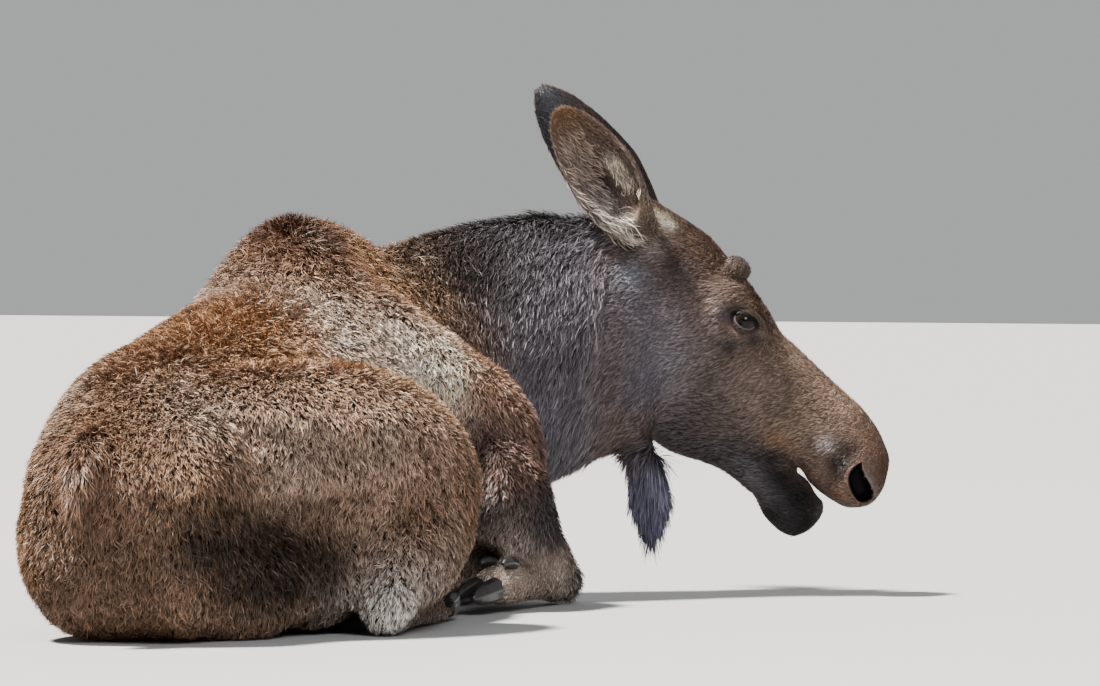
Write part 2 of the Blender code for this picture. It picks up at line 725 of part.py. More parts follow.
HOOF = {
    "length": 0.078,
    "half_width": 0.0155,
    "height": 0.021,
    "apart": 0.0175,
    "toe_in": 0.003,
    "toe_drop": 0.006,
    "sunk": 0.002,
}
HOOF_ROOM = {"half_width": 0.043, "below": 0.050, "above": 0.036}  # what is cut off a foot's clay for them
DEWCLAW = [  # along the foot, spread, height over the first, radius
    (-0.012, 1.00, 0.000, 0.011),
    (0.008, 1.08, 0.006, 0.011),
    (0.024, 1.12, 0.008, 0.008),
    (0.032, 1.12, 0.007, 0.003),
]
DEWCLAW_BACK = 0.72  # of the way from the rim to the fetlock
FORE_DEWCLAW = {"out": 0.019, "high": 0.030}
HIND_DEWCLAW = {"out": 0.036, "high": 0.006}
CLAWS = {"inner": -1, "outer": 1}


def make_hooves(name):
    """Two claws side by side; a folded fore foot shows its soles, so its claws are turned over."""
    frame = foot_frame(name)
    sole = 1 if is_fore(name) else -1
    made = []
    for claw, side in CLAWS.items():
        stations = []
        for u in (0.0, 0.25, 0.55, 0.8, 0.95, 1.0):
            taper = math.sqrt(max(0.04, 1 - u**2.4))
            x = 2 * SET_IN_GAP + u * HOOF["length"]
            y = side * (HOOF["apart"] - HOOF["toe_in"] * u**2)
            z = -HOOF["sunk"] - sole * HOOF["toe_drop"] * u**2
            height = HOOF["height"] * taper
            stations.append((x, y, z, HOOF["half_width"] * taper, height, height, 0, 0))
        shape = loft(stations, rows=6, sides=8, frame=frame, square=0.8)
        made.append(solid_of(f"{name}_hoof_{claw}", shape, HORN, 0.35))
    return made


def make_dewclaws(name):
    """The two small claws behind the fetlock: on top of a folded fore foot, low on a hind one."""
    _, fetlock, rim = (Vector(p) for p in FEET[name])
    back = -(rim - fetlock).length * DEWCLAW_BACK
    place = FORE_DEWCLAW if is_fore(name) else HIND_DEWCLAW
    made = []
    for claw, side in CLAWS.items():
        joints = []
        for x, spread, rise, radius in DEWCLAW:
            joints.append((back + x, side * place["out"] * spread, place["high"] + rise, radius, radius))
        shape = limb(joints, 4, 6, frame=foot_frame(name))
        made.append(solid_of(f"{name}_dewclaw_{claw}", shape, HORN, 0.4))
    return made


def grown(obj, by):
    """The object a little larger all round, to cut its seat."""
    twin = copy_of(obj, "seat")
    form = bmesh.new()
    form.from_mesh(twin.data)
    form.normal_update()
    for vertex in form.verts:
        vertex.co += vertex.normal * by
    form.to_mesh(twin.data)
    form.free()
    return twin


def near(obj, other, margin=0.002):
    """Whether two objects' boxes meet."""
    corners = []
    for each in (obj, other):
        places = np.array([v.co for v in each.data.vertices])
        corners.append((places.min(axis=0) - margin, places.max(axis=0) + margin))
    (low_a, high_a), (low_b, high_b) = corners
    return bool((low_a <= high_b).all() and (low_b <= high_a).all())


def set_in(piece, parts):
    for part in parts:
        if near(piece, part):
            cut(part, [grown(piece, SET_IN_GAP)])


def centre_on_floor(objects):
    """Moves all so that the origin is the middle of their box, on the floor, and returns the move."""
    places = np.array([v.co for obj in objects for v in obj.data.vertices])
    low, high = places.min(axis=0), places.max(axis=0)
    move = -Vector(((low[0] + high[0]) / 2, (low[1] + high[1]) / 2, low[2]))
    for obj in objects:
        obj.data.transform(Matrix.Translation(move))
    return move


def cut_hoof_room(body, name):
    """Cuts the end of a foot's clay off square at the rim, where the hooves start."""
    low = (0, -HOOF_ROOM["half_width"], -HOOF_ROOM["below"])
    high = (HOOF["length"] + 0.01, HOOF_ROOM["half_width"], HOOF_ROOM["above"])
    cut(body, [box_between(low, high, foot_frame(name))])


def cut_nostril(head, side):
    at = NOSTRIL["at"].copy()
    at.y *= SIDES[side]
    turn = (0, NOSTRIL["turn"][1], NOSTRIL["turn"][2] * SIDES[side])
    cut(head, [object_from("nostril", *ball(at, NOSTRIL["radii"], turn, HEAD, 12, 7))])


def build_moose():
    clear_scene()
    body = fused_body()
    for name in FEET:
        cut_hoof_room(body, name)
    parts = parted(body)
    added = []
    for side in SIDES:
        cut_nostril(parts["head"], side)
        ear = make_ear(side)
        set_in(ear, [parts["head"], parts["neck"]])
        dress(ear, COAT, 0.9)
        added.append(ear)
        for piece in (make_bud(side), make_eye(side)):
            set_in(piece, [parts["head"]])
            added.append(piece)
    for name in FEET:
        for claw in make_dewclaws(name):
            set_in(claw, [parts[name + "_foot"]])
            added.append(claw)
        added += make_hooves(name)
    for part in parts.values():
        dress(part, COAT, 0.9)
    return centre_on_floor(list(parts.values()) + added)


MOVED = build_moose()
print("moved by", [round(v, 4) for v in MOVED])
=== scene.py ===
# A young bull moose lying down with its head turned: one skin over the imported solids, a coat of mesh tufts,
# eyes, antler buds and hooves
import json
import math
import time

import bpy
import numpy as np
from mathutils import Matrix, Vector, noise
from mathutils.bvhtree import BVHTree
from mathutils.kdtree import KDTree

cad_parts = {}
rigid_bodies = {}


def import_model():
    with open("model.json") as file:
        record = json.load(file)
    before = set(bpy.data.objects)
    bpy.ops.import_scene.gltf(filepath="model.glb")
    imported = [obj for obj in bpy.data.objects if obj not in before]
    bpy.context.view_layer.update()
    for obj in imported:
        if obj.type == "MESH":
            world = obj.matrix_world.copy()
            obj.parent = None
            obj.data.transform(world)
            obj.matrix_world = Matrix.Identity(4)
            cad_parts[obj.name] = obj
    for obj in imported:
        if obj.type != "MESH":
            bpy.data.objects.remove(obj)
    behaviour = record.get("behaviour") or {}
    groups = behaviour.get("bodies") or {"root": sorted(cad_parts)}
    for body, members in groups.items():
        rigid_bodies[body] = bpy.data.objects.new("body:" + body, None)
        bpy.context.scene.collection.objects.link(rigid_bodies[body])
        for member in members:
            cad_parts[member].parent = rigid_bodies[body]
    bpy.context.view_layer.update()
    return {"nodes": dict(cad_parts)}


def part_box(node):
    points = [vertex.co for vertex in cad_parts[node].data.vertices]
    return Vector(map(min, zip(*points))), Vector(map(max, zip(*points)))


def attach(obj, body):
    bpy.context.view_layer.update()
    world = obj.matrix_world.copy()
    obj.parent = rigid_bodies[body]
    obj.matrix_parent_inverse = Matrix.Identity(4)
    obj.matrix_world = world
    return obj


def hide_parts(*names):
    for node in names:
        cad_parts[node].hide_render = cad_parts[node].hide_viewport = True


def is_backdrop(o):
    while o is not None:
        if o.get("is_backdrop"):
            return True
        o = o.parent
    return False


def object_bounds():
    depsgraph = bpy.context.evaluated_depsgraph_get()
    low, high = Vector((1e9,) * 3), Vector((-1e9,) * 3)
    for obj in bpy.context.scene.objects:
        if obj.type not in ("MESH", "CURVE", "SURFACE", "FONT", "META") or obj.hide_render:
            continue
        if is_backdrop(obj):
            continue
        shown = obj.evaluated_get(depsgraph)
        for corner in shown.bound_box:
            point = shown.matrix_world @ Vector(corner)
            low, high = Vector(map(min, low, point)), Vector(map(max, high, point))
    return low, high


for old in list(bpy.data.objects):
    bpy.data.objects.remove(old)
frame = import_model()
started = time.time()
nodes = frame["nodes"]

# the head's own frame, as the solids have it: x to the nose, y to its left, z out of the forehead
head = {
    "turn": -73,  # degrees about Z
    "pitch": 49,  # nose down
    "tilt": -3,
    "eyeAt": (.243, .079, -.002),  # the left eye's place in it
}

skinSet = {
    "voxel": .0044,  # metres, how fine the fused skin is
    "overlap": .0007,  # each part grows by this, so that the thin cuts close
    "smoothing": 60,  # passes that melt the facets
    "triangles": 130000,
    "spared": .004,  # how strongly the head keeps its fine mesh
}


def stage(text):
    print("stage", round(time.time() - started, 1), "s:", text)


def linear(hexColour):
    parts = [int(hexColour[i : i + 2], 16) / 255 for i in (1, 3, 5)]
    return np.array([c / 12.92 if c <= .04045 else ((c + .055) / 1.055) ** 2.4 for c in parts])


def deselect():
    for other in bpy.context.view_layer.objects:
        other.select_set(False)


def pick(*objs):
    deselect()
    for obj in objs:
        obj.select_set(True)
    bpy.context.view_layer.objects.active = objs[-1]


def applyModifier(obj, kind, name, **settings):
    modifier = obj.modifiers.new(name, kind)
    for key, value in settings.items():
        setattr(modifier, key, value)
    pick(obj)
    bpy.ops.object.modifier_apply(modifier=name)


def places(mesh):
    found = np.empty(len(mesh.vertices) * 3)
    mesh.vertices.foreach_get("co", found)
    return found.reshape(-1, 3)


def setPlaces(mesh, points):
    mesh.vertices.foreach_set("co", np.asarray(points, np.float32).ravel())
    mesh.update()


def normals(mesh):
    found = np.empty(len(mesh.vertices) * 3)
    mesh.vertex_normals.foreach_get("vector", found)
    return found.reshape(-1, 3)


def smoothStep(value, low, high):
    t = np.clip((value - low) / (high - low), 0, 1)
    return t * t * (3 - 2 * t)


def peak(value, centre, width):  # 1 at the centre, falling off smoothly to both sides
    return np.exp(-(((value - centre) / width) ** 2))


def unit(vectors):
    return vectors / np.maximum(np.linalg.norm(vectors, axis=-1, keepdims=True), 1e-9)


def middle(name):
    low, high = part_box(name)
    return (low + high) / 2


def headMatrix():
    turn = Matrix.Rotation(math.radians(head["turn"]), 3, "Z")
    pitch = Matrix.Rotation(math.radians(head["pitch"]), 3, "Y")
    tilt = Matrix.Rotation(math.radians(head["tilt"]), 3, "X")
    spin = turn @ pitch @ tilt
    between = (middle("eye_left") + middle("eye_right")) / 2
    x, _, z = head["eyeAt"]
    return Matrix.Translation(between - spin @ Vector((x, 0, z))) @ spin.to_4x4()


headSpace = headMatrix()
intoHead = np.array(headSpace.inverted())
fromHead = np.array(headSpace)


def toHead(points):
    return points @ intoHead[:3, :3].T + intoHead[:3, 3]


def outOfHead(points):
    return points @ fromHead[:3, :3].T + fromHead[:3, 3]


# which coat grows on each node of flesh
partOf = {name: name for name in ("trunk", "neck", "head", "jaw", "bell", "tail")}
partOf.update(ear_left="ear", ear_right="ear")
for limbNode in nodes:
    for ending in ("_thigh", "_arm", "_gaskin", "_forearm", "_foot"):
        if limbNode.endswith(ending):
            partOf[limbNode] = ending[1:]
flesh = sorted(partOf)
sides = {"right": -1, "left": 1}


def copyOf(node, name):
    twin = node.copy()
    twin.data = node.data.copy()
    twin.parent = None
    twin.name = name
    twin.data.name = name
    for key in list(twin.keys()):
        del twin[key]
    bpy.context.scene.collection.objects.link(twin)
    return twin


def addBall(name, place, radii, segments=24, rings=16):
    deselect()
    bpy.ops.mesh.primitive_uv_sphere_add(segments=segments, ring_count=rings, radius=1, location=place)
    ball = bpy.context.view_layer.objects.active
    ball.name = name
    ball.data.name = name
    ball.scale = radii
    bpy.ops.object.transform_apply(location=True, rotation=True, scale=True)
    return ball


def edgeEnds(mesh):
    ends = np.empty(len(mesh.edges) * 2, np.int64)
    mesh.edges.foreach_get("vertices", ends)
    return ends.reshape(-1, 2)


def selectVertices(obj, chosen):  # and stays in edit mode
    pick(obj)
    bpy.ops.object.mode_set(mode="EDIT")
    bpy.ops.mesh.select_all(action="DESELECT")
    bpy.ops.object.mode_set(mode="OBJECT")
    obj.data.vertices.foreach_set("select", chosen)
    bpy.ops.object.mode_set(mode="EDIT")


def keepLargest(obj):  # drops what the fusing left inside
    mesh = obj.data
    ends = edgeEnds(mesh)
    label = np.arange(len(mesh.vertices))
    while True:
        before = label.copy()
        lowest = np.minimum(label[ends[:, 0]], label[ends[:, 1]])
        np.minimum.at(label, ends[:, 0], lowest)
        np.minimum.at(label, ends[:, 1], lowest)
        label = label[label]
        if (label == before).all():
            break
    names, counts = np.unique(label, return_counts=True)
    lost = label != names[counts.argmax()]
    if lost.any():
        selectVertices(obj, lost)
        bpy.ops.mesh.delete(type="VERT")
        bpy.ops.object.mode_set(mode="OBJECT")


def groupFrom(obj, name, weights):
    group = obj.vertex_groups.new(name=name)
    levels = np.round(np.clip(weights, 0, 1), 2)
    for level in np.unique(levels):
        group.add(np.nonzero(levels == level)[0].tolist(), float(level), "REPLACE")


def near(points, place, radius):  # 1 at the place, falling off smoothly
    return np.exp(-np.sum((points - np.asarray(place)) ** 2, axis=-1) / radius**2)


def bothSides(place):
    x, y, z = place
    return (x, y, z), (x, -y, z)


# what fills the seats of the eyes, buds and nostrils before the skin is shaped there, in the head's frame
fillings = {
    "socket": {"at": (.243, .079, -.002), "radii": (.0215, .0215, .0215)},
    "budSeat": {"at": (.172, .050, .018), "radii": (.026, .022, .022)},
    "nostrilSeat": {"at": (.574, .050, -.040), "radii": (.036, .024, .036)},
    "mouthCorner": {"at": (.466, .018, -.107), "radii": (.029, .030, .012)},
}


def fusedFlesh():
    copies = [copyOf(nodes[name], "copy") for name in flesh]
    for name, filling in fillings.items():
        for place in bothSides(filling["at"]):
            ball = addBall(name, (0, 0, 0), filling["radii"])
            setPlaces(ball.data, outOfHead(places(ball.data) + np.array(place)))
            copies.append(ball)
    pick(*copies[::-1])
    bpy.ops.object.join()
    obj = bpy.context.view_layer.objects.active
    obj.name = "moose_skin"
    obj.data.name = "moose_skin"
    obj.data.materials.clear()
    applyModifier(obj, "WELD", "weld", merge_threshold=.00005)
    applyModifier(obj, "DISPLACE", "grow", strength=skinSet["overlap"], mid_level=0)
    applyModifier(obj, "REMESH", "fuse", mode="VOXEL", voxel_size=skinSet["voxel"])
    keepLargest(obj)
    return obj


def meltAndSimplify(obj):
    at = toHead(places(obj.data))
    onHead = smoothStep(at[:, 0], -.06, .02) * smoothStep(.72 - np.linalg.norm(at, axis=1), 0, .03)
    lips = near(at, (.54, 0, -.11), .085) + smoothStep(.09 - places(obj.data)[:, 2], 0, .03)
    onEars = smoothStep(-at[:, 0], .05, .1) * smoothStep(np.abs(at[:, 1]), .05, .09)
    onEars *= np.linalg.norm(at, axis=1) < .42
    earRoots = sum(near(at, place, .045) for place in bothSides((-.01, .075, -.03)))
    groupFrom(obj, "smoothing", 1 - .35 * onHead - .5 * lips - .7 * onEars + earRoots)
    applyModifier(obj, "SMOOTH", "melt", factor=.5, iterations=skinSet["smoothing"], vertex_group="smoothing")
    obj.vertex_groups.clear()
    at = toHead(places(obj.data))
    fine = smoothStep(at[:, 0], -.34, -.30) * smoothStep(.72 - np.linalg.norm(at, axis=1), 0, .03)
    groupFrom(obj, "coarse", 1 - .95 * fine)
    obj.data.calc_loop_triangles()
    applyModifier(
        obj,
        "DECIMATE",
        "simplify",
        ratio=skinSet["triangles"] / len(obj.data.loop_triangles),
        vertex_group="coarse",
        vertex_group_factor=skinSet["spared"],
    )
    obj.vertex_groups.clear()


skin = fusedFlesh()
stage(f"fused {len(skin.data.polygons)} faces")
meltAndSimplify(skin)
stage(f"skin simplified to {len(skin.data.polygons)} faces")

# the opening between the lids, metres, along and across its slit
eyeSet = {
    "radius": .0216,
    "slope": 21,  # degrees that the slit rises towards the nose in the head's frame
    "halfWidth": .0180,
    "upper": .0103,
    "lower": .0119,
    "lid": .0014,  # its thickness
    "blend": 3.0,  # openings out to where the lids run into the face
}
# the nostril: a drop shape, its height measured up the muzzle
nostrilSet = {
    "at": (.578, .060, -.0365),
    "up": (-.756, 0, .654),
    "fore": (.654, 0, .756),
    "half": .0185,  # half its width at the middle
    "height": .0345,  # half its height
    "taper": .45,  # how much wider it is below than above
    "bend": (.0014, -.0124, .0061, .0098),  # how far forward its middle line lies, in powers of the height
    "depth": .024,
    "wall": .009,  # how far in from the rim it reaches that depth
}
# swellings and hollows of the head: place in its frame, radius and height, all in metres
forms = [
    ((.170, .088, -.035), .030, -.0045),  # temple
    ((.120, .092, -.125), .055, .0050),  # the big cheek muscle
    ((.255, .080, -.125), .034, -.0040),  # and the hollow before it
    ((.300, .072, -.062), .020, .0028),  # ridge below the eye
    ((.360, .066, -.060), .018, .0022),
    ((.330, .066, -.100), .026, -.0028),
    ((.420, .060, -.045), .026, -.0020),
    ((.497, .070, -.030), .019, .0045),  # swelling behind the nostril
    ((.525, .068, -.055), .012, -.0035),  # and the valley that runs down from it
    ((.508, .068, -.004), .012, -.0020),
    ((.545, .066, -.060), .010, -.0025),
    ((.420, .060, -.092), .012, .0025),  # fold of the upper lip at the corner of the mouth
    ((.455, .060, -.090), .011, .0025),
    ((.430, .062, -.076), .009, -.0025),
    ((.470, .064, -.076), .009, -.0022),
    ((.400, .055, -.108), .010, -.0020),
    ((.560, .050, -.082), .012, .0020),  # edge of the upper lip
    ((.540, .040, -.155), .024, .0025),  # chin
    ((.490, .045, -.150), .016, -.0020),
    ((.215, .062, .040), .022, .0020),  # brow
    ((.140, .030, .045), .030, -.0020),
    ((.100, .040, .040), .030, .0020),
]

# lips and throat drawn this way, metres in the head's frame: place, radius, pull and whose they are
pulls = [
    ((.515, 0, -.110), .034, (0, 0, .0190), "jaw"),
    ((.570, 0, -.108), .022, (0, 0, .0050), "jaw"),
    ((.480, 0, -.178), .035, (0, 0, -.0050), "jaw"),
    ((.560, 0, -.090), .036, (0, 0, -.0060), "head"),
    ((.300, 0, -.235), .060, (0, 0, -.0140), "jaw"),
    ((.330, 0, -.220), .040, (0, 0, -.0080), "jaw"),
    ((.230, 0, -.260), .050, (0, 0, -.0060), "jaw"),
]


def nearestNode(points):  # which node of flesh each point belongs to
    corners, faces, owner = [], [], []
    for k, name in enumerate(flesh):
        mesh = nodes[name].data
        mesh.calc_loop_triangles()
        start = len(corners)
        corners += [v.co.copy() for v in mesh.vertices]
        for tri in mesh.loop_triangles:
            faces.append([start + v for v in tri.vertices])
            owner.append(k)
    tree = BVHTree.FromPolygons(corners, faces)
    return np.array([owner[tree.find_nearest(Vector(p))[2]] for p in points])


def refine(obj, chosen):  # splits the faces whose vertices are chosen
    bpy.context.tool_settings.mesh_select_mode = (True, False, False)
    selectVertices(obj, chosen)
    bpy.ops.mesh.select_mode(type="FACE")
    bpy.ops.mesh.subdivide(number_cuts=1)
    bpy.ops.mesh.select_all(action="SELECT")
    bpy.ops.mesh.quads_convert_to_tris()
    bpy.ops.object.mode_set(mode="OBJECT")


def closeTo(place, radius):
    at = toHead(places(skin.data))
    return sum((np.linalg.norm(at - np.array(p), axis=1) < radius) for p in bothSides(place)) > 0


def pushForms():
    spots = places(skin.data)
    at = toHead(spots)
    lift = np.zeros(len(at))
    for place, radius, height in forms:
        for p in bothSides(place):
            lift += height * near(at, p, radius)
    out = unit(blurred(normals(skin.data), edgeEnds(skin.data), 3))
    setPlaces(skin.data, spots + out * lift[:, None])


def pullLips():
    at = toHead(places(skin.data))
    owner = np.array([partOf[name] for name in flesh])[nearestNode(places(skin.data))]
    for place, radius, pull, part in pulls:
        flat = (at - np.array(place)) * (1, .5, 1)
        mine = blurred(owner == part, edgeEnds(skin.data), 2)
        at += (np.exp(-np.sum(flat**2, axis=1) / radius**2) * mine)[:, None] * np.array(pull)
    setPlaces(skin.data, outOfHead(at))


def blurred(values, ends, passes):  # spreads numbers along the mesh's edges
    values = np.array(values, float)
    flat = values.reshape(len(values), -1)
    count = np.bincount(ends.ravel(), minlength=len(flat)).astype(float)[:, None]
    for _ in range(passes):
        total = np.empty_like(flat)
        for k in range(flat.shape[1]):
            total[:, k] = np.bincount(ends[:, 0], flat[ends[:, 1], k], len(flat))
            total[:, k] += np.bincount(ends[:, 1], flat[ends[:, 0], k], len(flat))
        flat = .5 * flat + .5 * total / np.maximum(count, 1)
    return flat.reshape(values.shape)


def aroundEye(at, sign):  # along the slit, up across it, outwards, and how many openings out
    away = at - np.array(head["eyeAt"]) * (1, sign, 1)
    turn = math.radians(eyeSet["slope"])
    along = away[:, 0] * math.cos(turn) + away[:, 2] * math.sin(turn)
    up = away[:, 2] * math.cos(turn) - away[:, 0] * math.sin(turn)
    out = away[:, 1] * sign
    half = np.where(up > 0, eyeSet["upper"], eyeSet["lower"])
    ring = np.hypot(along / eyeSet["halfWidth"], up / half)
    return along, up, out, np.where(out > -.03, ring, 99)


def fromSlit(along, up, level, sign):
    turn = math.radians(eyeSet["slope"])
    forward = along * math.cos(turn) - up * math.sin(turn)
    upward = along * math.sin(turn) + up * math.cos(turn)
    return np.stack([forward, level * sign, upward], axis=-1) + np.array(head["eyeAt"]) * (1, sign, 1)


def openLids():
    at = toHead(places(skin.data))
    for sign in sides.values():
        along, up, out, ring = aroundEye(at, sign)
        off = ring - 1
        gathered = 1 + off * np.minimum(np.abs(off) / .3, 1)
        scale = gathered / np.maximum(ring, 1e-6)
        here = ring < eyeSet["blend"]
        along, up = along * scale, up * scale
        ball = np.sqrt(np.maximum(eyeSet["radius"] ** 2 - along**2 - up**2, 0))
        lid = ball + eyeSet["lid"] + .0024 * smoothStep(gathered, 1.0, 1.6)
        blend = smoothStep(gathered, 1.1, eyeSet["blend"])
        crease = peak(gathered, 1.8, .16) * (up > 0) * .0016
        crease += peak(gathered, 2.6, .20) * (up > 0) * .0016
        crease += peak(gathered, 1.7, .18) * (up < 0) * .0008
        fold = peak(gathered, 1.4, .2) * .0008
        tear = peak(along, .021, .0028) * peak(up, -.011, .010) * .0022
        outside = lid + (out - lid) * blend - crease + fold - tear
        inside = lid - .007 * smoothStep(1 - gathered, .015, .14)
        level = np.where(gathered >= 1, outside, inside)
        at[here] = fromSlit(along, up, level, sign)[here]
    setPlaces(skin.data, outOfHead(at))


def intoNostril(at, sign):  # metres inside its rim, below zero outside, and how far to its side of the middle
    away = at - np.array(nostrilSet["at"]) * (1, sign, 1)
    high = away @ np.array(nostrilSet["up"])
    fore = away @ np.array(nostrilSet["fore"])
    t = np.clip(high / nostrilSet["height"], -1, 1)
    half = nostrilSet["half"] * np.sqrt(1 - t**2) * (1 - nostrilSet["taper"] * t)
    shift = sum(k * t**power for power, k in enumerate(nostrilSet["bend"]))
    beyond = np.maximum(np.abs(high) - nostrilSet["height"], 0)
    inside = half - np.hypot(fore - shift, beyond)
    return np.where(at[:, 1] * sign > .012, inside, -1), fore - shift, high


def openNostrils():
    at = toHead(places(skin.data))
    for sign in sides.values():
        inside, fore, high = intoNostril(at, sign)
        inward = unit(np.array([-.30, -sign * .90, .10]))
        deep = nostrilSet["depth"] * smoothStep(inside, -.0006, nostrilSet["wall"])
        rim = peak(inside, -.0030, .0026) * .0020
        wing = peak(fore, .019, .009) * peak(high, -.002, .018) * .0036
        at += inward * (deep - rim - wing * (inside < 0))[:, None]
    setPlaces(skin.data, outOfHead(at))


for place, radii in ((head["eyeAt"], (.050, .034)), (nostrilSet["at"], (.055, .044, .038))):
    for radius in radii:
        refine(skin, closeTo(place, radius))
pushForms()
pullLips()
openLids()
openNostrils()
stage(f"head shaped, {len(skin.data.polygons)} faces")


def patchy(points, size, seed):  # smooth noise from -1 to 1, in patches about this wide
    shift = Vector((seed * 17.3, seed * -5.1, seed * 3.7))
    return np.array([noise.noise(Vector(p) / size + shift) for p in points])


# creases and swellings of the hide: the line each one runs along, its radius and height, all in metres, and
# the painted shade in it, a share that darkens its coat; below zero, a painted highlight that lightens it
foldKeys = ("line", "radius", "height", "paintedShade")
foldTable = [
    (  # under the thigh's lower edge
        [(-.80, .05, .205), (-.72, 0, .222), (-.63, -.005, .206), (-.535, -.06, .202), (-.457, -.13, .228)],
        .022, -.014, .70,
    ),
    (  # and the edge itself
        [(-.80, .05, .250), (-.63, -.005, .244), (-.535, -.06, .240), (-.457, -.13, .262)],
        .024, .007, 0,
    ),
    (  # down the thigh's rear edge
        [(-.717, .016, .310), (-.719, .007, .271), (-.80, .055, .20)],
        .018, -.006, .25,
    ),
    (  # the hollow between thigh and shank
        [(-.78, .04, .155), (-.683, -.006, .165), (-.580, -.048, .157), (-.505, -.074, .140)],
        .050, -.012, .88,
    ),
    (  # and down to the floor
        [(-.70, .00, .09), (-.60, -.04, .09), (-.505, -.09, .080), (-.50, -.10, .03)],
        .065, -.010, .90,
    ),
    (  # across the thigh
        [(-.645, .009, .334), (-.577, -.063, .316), (-.511, -.112, .302), (-.433, -.157, .309)],
        .018, -.007, .25,
    ),
    (  # and the ridge over it
        [(-.639, .029, .368), (-.597, -.038, .347), (-.522, -.100, .330), (-.419, -.152, .347)],
        .020, .006, -.12,
    ),
    ([(-.424, -.120, .20), (-.436, -.158, .120)], .030, .006, -.1),  # the shank
]
folds = [dict(zip(foldKeys, row)) for row in foldTable]
hockAt = (-.462, -.160, .035)


def fromLine(points, line):  # how far each point is from it
    best = np.full(len(points), 9.0)
    for a, b in zip(line[:-1], line[1:]):
        a, step = np.array(a), np.array(b) - np.array(a)
        share = np.clip((points - a) @ step / (step @ step), 0, 1)
        best = np.minimum(best, np.linalg.norm(points - a - share[:, None] * step, axis=1))
    return best


def pressFolds():
    spots = places(skin.data)
    lift = sum(fold["height"] * peak(fromLine(spots, fold["line"]), 0, fold["radius"]) for fold in folds)
    out = unit(blurred(normals(skin.data), edgeEnds(skin.data), 4))
    setPlaces(skin.data, spots + out * lift[:, None])


pressFolds()

# the coat of each part: the hairs' length, the coat's depth and the width of a tuft in millimetres, tufts per
# square centimetre, how untidy it is, and the colours of tips and roots
coatKeys = ("length", "depth", "width", "tufts", "frizz", "tip", "root")
coatTable = {
    "trunk": (19, 10.5, 1.35, 23, .38, "#97714f", "#1f1610"),
    "thigh": (18, 9.5, 1.35, 24, .36, "#a3826a", "#1d140f"),
    "gaskin": (16, 7.5, 1.4, 22, .30, "#816b5b", "#211812"),
    "arm": (19, 9.5, 1.5, 22, .38, "#856759", "#2a1f19"),
    "forearm": (14, 6, 1.4, 22, .24, "#443b39", "#1d1817"),
    # the feet's tips pale, brightened as painted sunlight
    "foot": (9, 2.5, 1.3, 28, .18, "#f0dccb", "#77665a"),
    "neck": (31, 11.5, 1.35, 24, .16, "#625d62", "#1b1819"),
    "head": (10.5, 3.2, 1.2, 39, .18, "#746055", "#332924"),
    "jaw": (12.5, 3.4, 1.25, 35, .2, "#4a4345", "#1a1615"),
    "bell": (50, 11, 1.5, 28, .10, "#525061", "#161416"),
    "tail": (26, 7, 1.7, 19, .2, "#8a6f57", "#241a14"),
    "ear": (7, 1.6, 1.1, 34, .14, "#202129", "#101012"),
}
coats = {part: dict(zip(coatKeys, row)) for part, row in coatTable.items()}
# which way the hair lies, towards its tips; the head's are in its own frame
lies = {
    "trunk": (-.55, 0, -1),
    "thigh": (-.25, 0, -1),
    "gaskin": (-.35, 0, -1),
    "arm": (-.3, 0, -1),
    "forearm": (-.15, 0, -1),
    "foot": (-1, 0, -.3),
    "neck": (-.42, .38, -1),
    "head": (-.35, 0, -1),
    "jaw": (-.8, 0, -.7),
    "bell": (0, 0, -1),
    "tail": (0, 0, -1),
    "ear": (-1, 0, 0),
}
inHeadFrame = ("head", "jaw", "ear")
